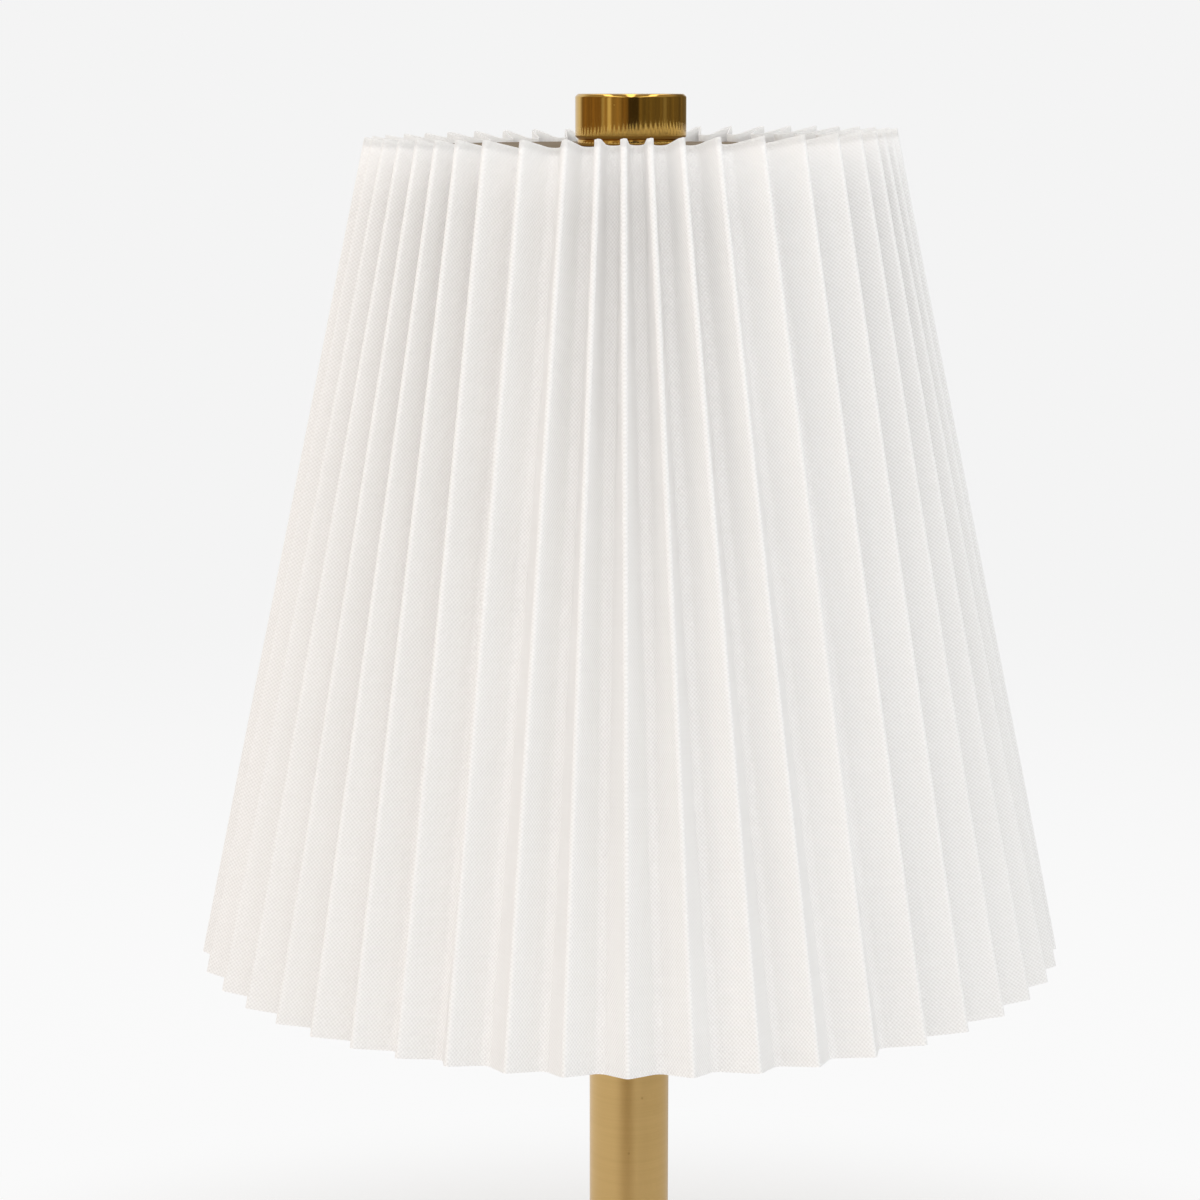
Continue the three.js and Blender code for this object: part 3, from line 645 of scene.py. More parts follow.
def lofted(name: str, rings: Sequence[Sequence[Vector]]) -> bpy.types.Object:
    """Joins rings of as many points in order and closes both ends.

    Args:
        name: the object's name.
        rings: the rings, from one end to the other.

    Returns:
        The object.
    """
    form = bmesh.new()
    rows = [[form.verts.new(point) for point in ring] for ring in rings]
    count = len(rings[0])
    for low, high in zip(rows, rows[1:]):
        for i in range(count):
            j = (i + 1) % count
            form.faces.new((low[i], low[j], high[j], high[i]))
    form.faces.new(rows[0])
    form.faces.new(rows[-1])
    return made(name, form)


def rounded_rectangle(width: float, height: float, corner: float) -> Outline:
    """Draws a rectangle with round corners about its middle.

    Args:
        width: its full width.
        height: its full height.
        corner: radius of its corners.

    Returns:
        The outline, once round.
    """
    outline: Outline = []
    for quarter, (x, y) in enumerate([(1, 1), (-1, 1), (-1, -1), (1, -1)]):
        for step in range(ARC_STEPS + 1):
            angle = TURN / 4.0 * (quarter + step / ARC_STEPS)
            across = x * (width / 2.0 - corner) + corner * math.cos(angle)
            up = y * (height / 2.0 - corner) + corner * math.sin(angle)
            outline.append((across, up))
    return outline


def circle(radius: float, facets: int = SMALL_FACETS) -> Outline:
    """Outline of a circle about its middle."""
    angles = [TURN * i / facets for i in range(facets)]
    return [(radius * math.cos(angle), radius * math.sin(angle)) for angle in angles]


def pointing_back(outline: Outline, depth: float, height: float) -> list[Vector]:
    """An outline stood upright at a depth and a height, facing the back of the lamp."""
    return [Vector((x, depth, height + y)) for x, y in outline]


def lying_flat(outline: Outline, heights: Sequence[float]) -> list[list[Vector]]:
    """An outline laid level at each of some heights."""
    return [[Vector((x, y, height)) for x, y in outline] for height in heights]


def carve(piece: bpy.types.Object, cutter: bpy.types.Object) -> None:
    """Cuts one object out of another and deletes the cutter.

    Args:
        piece: the object that is cut.
        cutter: the object that is cut out of it.
    """
    cut = piece.modifiers.new("cut", "BOOLEAN")
    cut.operation = "DIFFERENCE"
    cut.solver = "EXACT"
    cut.object = cutter
    graph = bpy.context.evaluated_depsgraph_get()
    blank, mesh = piece.data, bpy.data.meshes.new_from_object(piece.evaluated_get(graph))
    piece.modifiers.clear()
    piece.data = mesh
    mesh.set_sharp_from_angle(angle=SHARP_ANGLE)
    bpy.data.meshes.remove(blank)
    bpy.data.objects.remove(cutter)


def dress(piece: bpy.types.Object, finish: Finish, body: Body, *nodes: str) -> bpy.types.Object:
    """Gives a new piece its finish, its body and the nodes that it stands for.

    Args:
        piece: the piece, in place.
        finish: its finish.
        body: the body that it rides on.
        nodes: the nodes of the frame that it replaces.

    Returns:
        The same piece.
    """
    piece.data.materials.clear()
    piece.data.materials.append(material_of(finish))
    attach(piece, body.value)
    if nodes:
        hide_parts(*nodes)
    faces = len(piece.data.polygons)
    log.info("%s: %d faces in %s on %s", piece.name, faces, finish.slot.value, body.value)
    return piece


def paint(finish: Finish, *nodes: str) -> None:
    """Gives nodes that keep their own shape a finish.

    Args:
        finish: the finish.
        nodes: names of the nodes.
    """
    for node in nodes:
        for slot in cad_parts[node].material_slots:
            slot.material = material_of(finish)
        log.info("%s: keeps its shape in %s", node, finish.slot.value)


@dataclass(frozen=True)
class Nudge:
    """A stretch of pleats that slid sideways when the cloth was gathered, in degrees from the front."""

    at: float
    shift: float
    spread: float

    def moves(self, angle: float) -> float:
        """How far a fold that would stand at an angle has slid."""
        away = (angle - self.at + 180.0) % 360.0 - 180.0
        return self.shift * math.exp(-0.5 * (away / self.spread) ** 2)


@dataclass
class PleatedShade:
    """The pleated cloth and the plate, ring and ribs that hold it."""

    pleats: int = 46
    first_fold: float = -1.1
    top_radius: float = 47.7 * MM
    bottom_radius: float = 79.7 * MM
    height: float = 150.0 * MM
    top_depth: float = 7.2 * MM
    thickness: float = 0.3 * MM
    ridge_radius: float = 0.42 * MM
    valley_radius: float = 1.4 * MM
    stray: float = 0.35
    lean: float = 0.06
    waver: float = 0.14 * MM
    waver_steps: Point = (1.7, 3.0, 0.5)
    bottom_seed: int = 11
    top_seed: int = 23
    lean_seed: int = 37
    top_tilt: float = 0.8 * MM
    rows: int = 28
    fold_steps: int = 4
    flat_steps: int = 4
    top_nudges: tuple[Nudge, ...] = (
        Nudge(-72.0, 8.0, 20.0),
        Nudge(-15.0, 3.4, 8.0),
        Nudge(15.0, -4.8, 12.0),
        Nudge(30.0, -1.5, 10.0),
        Nudge(54.0, 1.5, 10.0),
        Nudge(80.0, -5.5, 10.0),
    )
    bottom_nudges: tuple[Nudge, ...] = (Nudge(-62.0, 6.0, 26.0),)
    plate_wall: float = 1.2 * MM
    plate_hole: float = 5.0 * MM
    plate_rim: float = 40.0 * MM
    plate_edge: float = 0.5 * MM
    plate_ease: float = 0.2 * MM
    wire_round: float = 0.999
    wire_sides: int = 16
    ribs: int = 3
    rib_reach: float = 3.0 * MM
    rib_taper: float = 0.35
    rib_tip: float = 0.7

    @property
    def slope(self) -> float:
        """How far the cloth leans out for each metre down."""
        return (self.bottom_radius - self.top_radius) / self.height

    @property
    def top(self) -> float:
        """Height of the outer folds at the top hem."""
        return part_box("shade_fabric")[1].z

    @property
    def face_width(self) -> float:
        """Width of the cloth between two folds."""
        half = math.pi / self.pleats
        inner = self.top_radius - self.top_depth
        across = inner * math.sin(half)
        deep = self.top_radius - inner * math.cos(half)
        return math.hypot(deep, across, self.top_depth * self.slope)

    @property
    def fold_length(self) -> float:
        """Length of a fold from hem to hem."""
        return math.hypot(self.height, self.bottom_radius - self.top_radius)

    def inner_radius(self, outer: float, half: float) -> float:
        """Radius of the inner fold that lies one face width from an outer fold.

        Args:
            outer: radius of the outer fold.
            half: angle between the two folds, in radians.

        Returns:
            The radius; a squeezed pleat bows and goes less deep than an even one.
        """
        rise = self.slope**2
        square = 1.0 + rise
        even = math.pi / self.pleats
        middle = outer * (math.cos(max(half, even)) + rise)
        under = middle**2 - square * (square * outer**2 - self.face_width**2)
        inner = (middle - math.sqrt(max(under, 0.0))) / square
        return outer - (outer - inner) * (1.0 + min(half / even, 1.0)) / 2.0

    def tips(
        self, radius: float, height: float, tilt: float, nudges: Sequence[Nudge], seed: int
    ) -> list[Vector]:
        """Places the tips of the outer folds at one hem.

        Args:
            radius: radius of the tips.
            height: height of the tips.
            tilt: how much higher the hem stands at the right.
            nudges: where the pleats have slid.
            seed: seed of the small strays.

        Returns:
            The tips in order round the lamp.
        """
        draw = Random(seed)
        tips = []
        for i in range(self.pleats):
            even = self.first_fold + 360.0 * i / self.pleats
            slid = even + sum(nudge.moves(even) for nudge in nudges)
            angle = math.radians(slid + draw.uniform(-self.stray, self.stray))
            right, front = math.sin(angle), math.cos(angle)
            tips.append(Vector((radius * right, -radius * front, height + tilt * right)))
        return tips

    def half_pleat(self, ridge: Vector, valley: Vector) -> list[Vector]:
        """Draws the cloth from an outer fold to the inner fold beside it, seen from above.

        Args:
            ridge: tip of the outer fold.
            valley: tip of the inner fold.

        Returns:
            Points from tip to tip: half an arc, a flat that touches both arcs, and half an arc.
        """
        out = ridge.normalized()
        side = Vector((-out.y, out.x))
        if side.dot(valley) < 0.0:
            side.negate()
        crest = ridge - out * self.ridge_radius
        root = valley + valley.normalized() * self.valley_radius
        line = root - crest
        touch = math.atan2(line.dot(side), -line.dot(out))
        touch += math.acos((self.ridge_radius + self.valley_radius) / line.length)
        sweep = math.atan2(valley.dot(side), valley.dot(out))
        steps = self.fold_steps

        def arc(centre: Vector, radius: float, start: float, end: float) -> list[Vector]:
            """Points of an arc, by its angles from the inward direction."""
            angles = [start + (end - start) * step / steps for step in range(steps + 1)]
            return [centre + (side * math.sin(a) - out * math.cos(a)) * radius for a in angles]

        outer = arc(crest, self.ridge_radius, math.pi, touch)
        inner = arc(root, self.valley_radius, touch - math.pi, -sweep)
        flat = [outer[-1].lerp(inner[0], step / self.flat_steps) for step in range(1, self.flat_steps)]
        return outer + flat + inner

    def row(self, tips: Sequence[Vector], leans: Sequence[float]) -> list[tuple[Vector, float]]:
        """Lays the cloth round the lamp through one row of outer folds.

        Args:
            tips: tips of the outer folds in order.
            leans: how far each inner fold lies off the middle, as a share of the pleat.

        Returns:
            Points with their place along the strip of cloth.
        """
        points = []
        for i, (tip, lean) in enumerate(zip(tips, leans)):
            here, after = tip.xy, tips[(i + 1) % self.pleats].xy
            depth = self.inner_radius(here.length, here.angle(after) / 2.0)
            valley = here.lerp(after, 0.5 + lean).normalized() * depth
            halves = (self.half_pleat(here, valley), self.half_pleat(after, valley)[::-1])
            for half, line in enumerate(halves):
                steps = [(b - a).length for a, b in zip(line, line[1:])]
                for j in range(half, len(line) - half):
                    share = sum(steps[:j]) / sum(steps)
                    height = tip.z - (here.length - line[j].length) * self.slope
                    along = (2 * i + half + share) * self.face_width
                    points.append((line[j].to_3d() + Vector((0.0, 0.0, height)), along))
        return points

    def cloth(self) -> bpy.types.Object:
        """Builds the pleated cloth row by row, from the bottom hem to the top.

        Returns:
            The cloth, one closed sheet with its thickness.
        """
        hem = self.top - self.height
        bottom = self.tips(self.bottom_radius, hem, 0.0, self.bottom_nudges, self.bottom_seed)
        top = self.tips(self.top_radius, self.top, self.top_tilt, self.top_nudges, self.top_seed)
        draw = Random(self.lean_seed)
        leans = [draw.uniform(-self.lean, self.lean) for _ in top]
        by_fold, by_height, depth = self.waver_steps
        middle, spread = [], []
        for row in range(self.rows):
            share = row / (self.rows - 1)
            tips = []
            for i, (low, high) in enumerate(zip(bottom, top)):
                waver = noise.noise(Vector((by_fold * i, by_height * share, depth))) * self.waver
                tips.append(low.lerp(high, share) + low.xy.normalized().to_3d() * waver)
            line = self.row(tips, leans)
            middle.append([point for point, _ in line])
            spread.append([along for _, along in line])
        count = len(middle[0])
        faces_out, faces_in = [], []
        for row, line in enumerate(middle):
            above = middle[min(row + 1, self.rows - 1)]
            below = middle[max(row - 1, 0)]
            for i, point in enumerate(line):
                along = line[(i + 1) % count] - line[i - 1]
                out = along.cross(above[i] - below[i]).normalized() * self.thickness / 2.0
                faces_out.append(point + out)
                faces_in.append(point - out)
        return self.sheet_mesh(faces_out, faces_in, spread)

    def sheet_mesh(
        self, outside: Sequence[Vector], inside: Sequence[Vector], spread: Sequence[Sequence[float]]
    ) -> bpy.types.Object:
        """Joins the two sides of the cloth at its hems.

        Args:
            outside: points of the outer side, row by row.
            inside: points of the inner side in the same order.
            spread: for each row, the points' places along the strip of cloth.

        Returns:
            The object, with a map of the strip laid flat: along it, and down from the top hem, negative
            on the inner side.
        """
        count = len(spread[0])
        total = 2 * self.pleats * self.face_width
        half = len(outside)
        downs = [(1.0 - row / (self.rows - 1)) * self.fold_length for row in range(self.rows)]
        faces, flat = [], []

        def spot(row: int, way: int, side: float = 1.0) -> tuple[float, float]:
            """Place on the strip of a point in a row."""
            turns, i = divmod(way, count)
            return (spread[row][i] + turns * total, downs[row] * side)

        for row in range(self.rows - 1):
            for i in range(count):
                corners = [(row, i), (row, i + 1), (row + 1, i + 1), (row + 1, i)]
                outer = [r * count + c % count for r, c in corners]
                faces.append(outer)
                flat.extend(spot(r, c) for r, c in corners)
                faces.append([half + vertex for vertex in reversed(outer)])
                flat.extend(spot(r, c, -1.0) for r, c in reversed(corners))
        for row, order in ((0, -1), (self.rows - 1, 1)):
            for i in range(count):
                a, b = row * count + i, row * count + (i + 1) % count
                faces.append([a, b, half + b, half + a][::order])
                flat.extend([spot(row, i), spot(row, i + 1), spot(row, i + 1), spot(row, i)][::order])
        mesh = bpy.data.meshes.new("pleated_cloth")
        mesh.from_pydata([*outside, *inside], [], faces)
        strip = mesh.uv_layers.new(name=WEAVE_MAP)
        strip.data.foreach_set("uv", [value for pair in flat for value in pair])
        return placed("pleated_cloth", mesh)

    def plate(self) -> bpy.types.Object:
        """Builds the lacquered plate that closes the top of the shade.

        Returns:
            The plate, with its skirt inside the cloth.
        """
        span = Span.of("shade_plate")
        wall, ease = self.plate_wall, self.plate_ease
        return turned(
            "top_plate",
            [
                Corner(span.radius - wall, span.low, ease),
                Corner(span.radius, span.low, ease),
                Corner(self.plate_rim, span.high, self.plate_edge),
                Corner(self.plate_hole, span.high, ease),
                Corner(self.plate_hole, span.high - wall, ease),
                Corner(self.plate_rim - wall, span.high - wall, self.plate_edge),
            ],
        )

    def ring(self) -> bpy.types.Object:
        """Builds the wire ring inside the bottom hem.

        Returns:
            The ring, round in section.
        """
        span = Span.of("bottom_ring")
        wire = span.high - span.low
        return eased_ring("hem_ring", span, span.radius - wire, self.wire_round * wire / 2.0)

    def rib(self, name: str, node: str) -> bpy.types.Object:
        """Builds one wire rib from the plate to the ring.

        Args:
            name: the rib's name.
            node: the node whose axis and thickness it follows.

        Returns:
            The rib, with tapered ends.
        """
        lowest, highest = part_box(node)
        corners = [vertex.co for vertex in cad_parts[node].data.vertices]
        ends = []
        for level in (lowest.z, highest.z):
            close = [co for co in corners if abs(co.z - level) < self.rib_reach]
            ends.append(sum(close, Vector()) / len(close))
        axis = (ends[1] - ends[0]).normalized()
        radius = max((co - ends[0]).cross(axis).length for co in corners)
        side = axis.orthogonal().normalized()
        other = axis.cross(side)
        taper, tip = self.rib_taper, self.rib_tip
        length = (ends[1] - ends[0]).length / radius
        rings = []
        for along, size in ((0.0, tip), (taper, 1.0), (length - taper, 1.0), (length, tip)):
            middle = ends[0] + axis * along * radius
            outline = circle(radius * size, self.wire_sides)
            rings.append([middle + side * x + other * y for x, y in outline])
        return lofted(name, rings)

    def build(self) -> None:
        """Builds and dresses the shade."""
        plate = dress(self.plate(), LACQUER, Body.SHADE, "shade_plate")
        ring = dress(self.ring(), STEEL, Body.SHADE, "bottom_ring")
        for i in range(1, self.ribs + 1):
            dress(self.rib(f"wire_rib_{i}", f"rib_{i}"), STEEL, Body.SHADE, f"rib_{i}")
        cloth = dress(self.cloth(), CLOTH, Body.SHADE, "shade_fabric")
        strip = (2 * self.pleats * self.face_width, self.fold_length)


@dataclass
class FinialKnob:
    """The knob that clamps the shade, its washer, the gasket under the plate and the threaded stud."""

    crown: float = 2.0 * MM
    top_chamfer: float = 0.5 * MM
    bottom_chamfer: float = 0.5 * MM
    ease: float = 0.4 * MM
    bore: float = 3.3 * MM
    bore_ease: float = 0.3 * MM
    washer_ease: float = 0.3 * MM
    gasket_bore: float = 5.0 * MM
    gasket_ease: float = 0.25 * MM
    stud_radius: float = 3.0 * MM
    shoulder_radius: float = 4.7 * MM
    shoulder_gap: float = 0.3 * MM
    thread_pitch: float = 1.0 * MM
    thread_depth: float = 0.5 * MM
    thread_steps: int = 8
    thread_runout: float = 4.0

    def knob(self) -> bpy.types.Object:
        """Builds the polished knob.

        Returns:
            The knob, with eased chamfers and a bore for the stud.
        """
        span = Span.of("knob")
        roof = span.high - self.crown
        edge, top, bottom = span.radius, self.top_chamfer, self.bottom_chamfer
        return turned(
            "finial_knob",
            [
                Corner(0.0, roof),
                Corner(self.bore, roof),
                Corner(self.bore, span.low, self.bore_ease),
                Corner(edge - bottom, span.low, self.ease),
                Corner(edge, span.low + bottom, self.ease),
                Corner(edge, span.high - top, self.ease),
                Corner(edge - top, span.high, self.ease),
                Corner(0.0, span.high),
            ],
        )

    def stud(self) -> bpy.types.Object:
        """Builds the stud from the heat sink up.

        Returns:
            The stud: a plain shank, a shoulder in the plate and a thread that takes the knob.
        """
        span = Span.of("top_stud")
        plate = Span.of("shade_plate")
        head = Span.of("led_heatsink")
        shoulder_top = plate.high - self.shoulder_gap
        root = self.stud_radius - self.thread_depth
        facets = SMALL_FACETS

        def ring(height: float, radius: float, cut: float) -> list[Vector]:
            """Draws one ring of the stud.

            Args:
                height: height of the ring.
                radius: radius of the crests.
                cut: share of its depth to which the thread is cut.

            Returns:
                The ring's points.
            """
            points = []
            for i in range(facets):
                turn = (height / self.thread_pitch - i / facets) % 1.0
                tooth = abs(2.0 * turn - 1.0)
                size = radius - cut * self.thread_depth * (1.0 - tooth)
                angle = TURN * i / facets
                points.append(Vector((size * math.cos(angle), size * math.sin(angle), height)))
            return points

        shank = (
            (span.low, root),
            (span.low + self.thread_depth, self.stud_radius),
            (head.high, self.stud_radius),
            (head.high, self.shoulder_radius),
            (shoulder_top, self.shoulder_radius),
            (shoulder_top, root),
        )
        rings = [ring(height, radius, 0.0) for height, radius in shank]
        threaded = span.high - shoulder_top
        steps = round(threaded / self.thread_pitch * self.thread_steps)
        for step in range(1, steps):
            share = step / steps
            taper = min(1.0, self.thread_runout * (1.0 - share))
            crest = root + (self.stud_radius - root) * taper
            rings.append(ring(shoulder_top + threaded * share, crest, taper))
        rings.append(ring(span.high, root, 0.0))
        return lofted("threaded_stud", rings)

    def build(self) -> None:
        """Builds and dresses the knob and its seat."""
        dress(self.knob(), POLISHED_BRASS, Body.KNOB, "knob")
        washer = eased_ring("seat_washer", Span.of("knob_washer"), self.bore, self.washer_ease)
        dress(washer, POLISHED_BRASS, Body.KNOB_SEAT, "knob_washer")
        gasket = eased_ring("plate_gasket", Span.of("shade_gasket"), self.gasket_bore, self.gasket_ease)
        dress(gasket, SILICONE, Body.SHADE_SEAT, "shade_gasket")
        dress(self.stud(), STEEL, Body.LAMP, "top_stud")


@dataclass
class LightHead:
    """The turned heat sink, the opal cup under it and the light board between them."""

    grooves: int = 3
    groove_width: float = 1.6 * MM
    groove_depth: float = 4.0 * MM
    ease: float = 0.25 * MM
    top_ease: float = 0.6 * MM
    stem_hole: float = 7.8 * MM
    stud_hole: float = 3.3 * MM
    rod_hole: float = 4.3 * MM
    rod_depth: float = 7.0 * MM
    web: float = 2.0 * MM
    cup_wall: float = 1.5 * MM
    cup_edge: float = 2.5 * MM
    cup_ease: float = 0.4 * MM
    lip_ease: float = 0.2 * MM
    chips: int = 8

    def heat_sink(self) -> bpy.types.Object:
        """Builds the turned heat sink.

        Returns:
            The heat sink, with its grooves and the holes for rod and stud.
        """
        span = Span.of("led_heatsink")
        ease = self.ease
        space = (span.high - span.low - self.grooves * self.groove_width) / (self.grooves + 1)
        root = span.radius - self.groove_depth
        web_low = span.low + self.rod_depth
        corners = [
            Corner(0.0, web_low),
            Corner(self.rod_hole, web_low),
            Corner(self.rod_hole, span.low),
            Corner(span.radius, span.low, ease),
        ]
        for i in range(self.grooves):
            low = span.low + space + i * (space + self.groove_width)
            high = low + self.groove_width
            groove = ((span.radius, low), (root, low), (root, high), (span.radius, high))
            corners.extend(Corner(radius, height, ease) for radius, height in groove)
        corners += [
            Corner(span.radius, span.high, self.top_ease),
            Corner(self.stud_hole, span.high, ease),
            Corner(self.stud_hole, web_low + self.web),
            Corner(0.0, web_low + self.web),
        ]
        return turned("turned_heat_sink", corners)

    def cup(self) -> bpy.types.Object:
        """Builds the opal diffuser cup.

        Returns:
            The cup, open at the top and round the stem.
        """
        span = Span.of("diffuser")
        inner = span.radius - self.cup_wall
        floor = span.low + self.cup_wall
        return turned(
            "opal_cup",
            [
                Corner(self.stem_hole, span.low, self.cup_ease),
                Corner(span.radius, span.low, self.cup_edge),
                Corner(span.radius, span.high, self.lip_ease),
                Corner(inner, span.high, self.lip_ease),
                Corner(inner, floor, self.cup_edge - self.cup_wall),
                Corner(self.stem_hole, floor, self.cup_ease),
            ],
        )

    def build(self) -> None:
        """Builds and dresses the light head."""
        dress(self.heat_sink(), ALUMINIUM, Body.LAMP, "led_heatsink")
        dress(self.cup(), OPAL, Body.LAMP, "diffuser")
        paint(WHITE_BOARD, "led_board")
        paint(PHOSPHOR, *(f"led_chip_{i}" for i in range(1, self.chips + 1)))
        paint(STEEL, "led_screw_1", "led_screw_2")
        paint(SHEATH, "led_lead")


@dataclass
class BrassStem:
    """The brushed tube, the collar at its foot and the rod inside it."""

    wall: float = 1.2 * MM
    ease: float = 0.3 * MM
    collar_lip: float = 1.6 * MM
    collar_neck: float = 1.4 * MM
    foot_ease: float = 0.15 * MM
    lip_ease: float = 0.5 * MM
    neck_ease: float = 0.4 * MM
    fit: float = 0.3 * MM

    def tube(self) -> bpy.types.Object:
        """Builds the stem tube."""
        span = Span.of("stem_tube")
        return eased_ring("brass_tube", span, span.radius - self.wall, self.ease)

    def collar(self) -> bpy.types.Object:
        """Builds the collar that covers the joint of stem and base.

        Returns:
            The collar, with a lip at its foot.
        """
        span = Span.of("base_collar")
        hole = Span.of("stem_tube").radius + self.fit
        return turned(
            "stem_collar",
            [
                Corner(hole, span.low),
                Corner(span.radius, span.low, self.foot_ease),
                Corner(span.radius, span.low + self.collar_lip, self.lip_ease),
                Corner(hole + self.collar_neck, span.high, self.neck_ease),
                Corner(hole, span.high, self.ease),
            ],
        )

    def build(self) -> None:
        """Builds and dresses the stem."""
        dress(self.tube(), SATIN_BRASS, Body.LAMP, "stem_tube")
        dress(self.collar(), SATIN_BRASS, Body.LAMP, "base_collar")
        paint(STEEL, "tie_rod", "lock_washer", "rod_nut")


@dataclass
class WeightedBase:
    """The brass shell with its charging socket and charge light, the cover, its screws and the foot."""

    wall: float = 2.2 * MM
    edge: float = 4.0 * MM
    chamfer: float = 0.8 * MM
    chamfer_ease: float = 0.4 * MM
    rim_ease: float = 0.2 * MM
    rod_hole: float = 4.3 * MM
    fit: float = 0.3 * MM
    foot_width: float = 4.0 * MM
    foot_ease: float = 0.4 * MM
    socket_wall: float = 0.3 * MM
    socket_cavity: float = 6.2 * MM
    tongue_width: float = 6.7 * MM
    tongue_thickness: float = 0.7 * MM
    tongue_length: float = 5.0 * MM
    tongue_corner: float = 0.2 * MM
    lens_radius: float = 1.5 * MM
    lens_angle: float = 13.0
    lens_dome: float = 0.5 * MM
    flange_radius: float = 2.3 * MM
    flange_thickness: float = 1.0 * MM
    flange_ease: float = 0.15 * MM
    screw_radius: float = 1.5 * MM
    screw_head: float = 2.8 * MM
    screw_head_height: float = 1.6 * MM
    head_ease: float = 0.5 * MM
    seat_ease: float = 0.1 * MM
    point_ease: float = 0.3 * MM
    key_radius: float = 1.3 * MM
    key_depth: float = 1.0 * MM
    key_sides: int = 6
    screws: int = 4

    @property
    def socket_height(self) -> float:
        """Height of the middle of the charging socket."""
        lowest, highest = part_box("usb_c_socket")
        return (lowest.z + highest.z) / 2.0

    def facing_back(self, piece: bpy.types.Object) -> bpy.types.Object:
        """Lays a piece turned about the lamp's axis down.

        Args:
            piece: the piece, upright on the lamp's axis.

        Returns:
            The same piece, pointing out beside the socket.
        """
        lay = Matrix.Rotation(-TURN / 4.0, 4, "X")
        turn = Matrix.Rotation(math.radians(-self.lens_angle), 4, "Z")
        piece.data.transform(Matrix.Translation((0.0, 0.0, self.socket_height)) @ turn @ lay)
        return piece

    def shell(self) -> bpy.types.Object:
        """Builds the brass shell.

        Returns:
            The shell, with the socket's mouth and the light's hole cut into its wall.
        """
        span = Span.of("base_shell")
        bay = span.radius - self.wall
        ceiling = span.high - self.wall
        shell = turned(
            "brass_shell",
            [
                Corner(bay, span.low),
                Corner(span.radius - self.chamfer, span.low, self.rim_ease),
                Corner(span.radius, span.low + self.chamfer, self.chamfer_ease),
                Corner(span.radius, span.high, self.edge),
                Corner(self.rod_hole, span.high),
                Corner(self.rod_hole, ceiling),
                Corner(bay, ceiling, self.edge - self.wall),
            ],
        )
        lowest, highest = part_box("usb_c_socket")
        width = highest.x - lowest.x + 2.0 * self.fit
        height = highest.z - lowest.z + 2.0 * self.fit
        depths = (bay - self.wall, span.radius + self.wall)
        mouth = rounded_rectangle(width, height, (highest.z - lowest.z) / 2.0)
        carve(shell, lofted("mouth", [pointing_back(mouth, y, self.socket_height) for y in depths]))
        hole = lying_flat(circle(self.lens_radius + self.fit), depths)
        carve(shell, self.facing_back(lofted("hole", hole)))
        return shell

    def socket(self) -> bpy.types.Object:
        """Builds the shell of the charging socket.

        Returns:
            The folded metal shell, open to the back.
        """
        lowest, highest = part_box("usb_c_socket")
        width, height = highest.x - lowest.x, highest.z - lowest.z
        corner = height / 2.0 - self.fit
        outside = rounded_rectangle(width, height, corner)
        inside = rounded_rectangle(
            width - 2.0 * self.socket_wall, height - 2.0 * self.socket_wall, corner - self.socket_wall
        )
        floor = highest.y - self.socket_cavity
        lines = [(outside, lowest.y), (outside, highest.y), (inside, highest.y), (inside, floor)]
        return lofted("charge_socket", [pointing_back(line, y, self.socket_height) for line, y in lines])

    def tongue(self) -> bpy.types.Object:
        """Builds the dark tongue in the charging socket.

        Returns:
            The tongue, on the floor of the socket's cavity.
        """
        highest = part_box("usb_c_socket")[1]
        back = highest.y - self.socket_cavity
        outline = rounded_rectangle(self.tongue_width, self.tongue_thickness, self.tongue_corner)
        depths = (back, back + self.tongue_length)
        return lofted("socket_tongue", [pointing_back(outline, y, self.socket_height) for y in depths])

    def lens(self) -> bpy.types.Object:
        """Builds the charge light's lens.

        Returns:
            The lens, with a low dome and a flange behind the wall.
        """
        shell = Span.of("base_shell").radius
        front = shell - self.fit
        back = shell - self.wall - self.fit
        inner = back - self.flange_thickness
        corners = [
            Corner(0.0, inner),
            Corner(self.flange_radius, inner, self.flange_ease),
            Corner(self.flange_radius, back, self.flange_ease),
            Corner(self.lens_radius, back),
            Corner(self.lens_radius, front, self.lens_dome),
            Corner(0.0, front),
        ]
        return self.facing_back(turned("charge_lens", corners, SMALL_FACETS))

    def foot(self) -> bpy.types.Object:
        """Builds the soft foot ring."""
        span = Span.of("foot_ring")
        return eased_ring("soft_foot", span, span.radius - self.foot_width, self.foot_ease)

    def screw(self, name: str, node: str) -> bpy.types.Object:
        """Builds one cover screw.

        Args:
            name: the screw's name.
            node: the node whose place and height it takes.

        Returns:
            The screw, with an eased head and a hexagon in it.
        """
        lowest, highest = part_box(node)
        seat = lowest.z + self.screw_head_height
        screw = turned(
            name,
            [
                Corner(0.0, lowest.z),
                Corner(self.screw_head, lowest.z, self.head_ease),
                Corner(self.screw_head, seat, self.seat_ease),
                Corner(self.screw_radius, seat),
                Corner(self.screw_radius, highest.z, self.point_ease),
                Corner(0.0, highest.z),
            ],
            SMALL_FACETS,
        )
        levels = (lowest.z - self.key_depth, lowest.z + self.key_depth)
        carve(screw, lofted("key", lying_flat(circle(self.key_radius, self.key_sides), levels)))
        middle = (lowest + highest) / 2.0
        screw.data.transform(Matrix.Translation((middle.x, middle.y, 0.0)))
        return screw

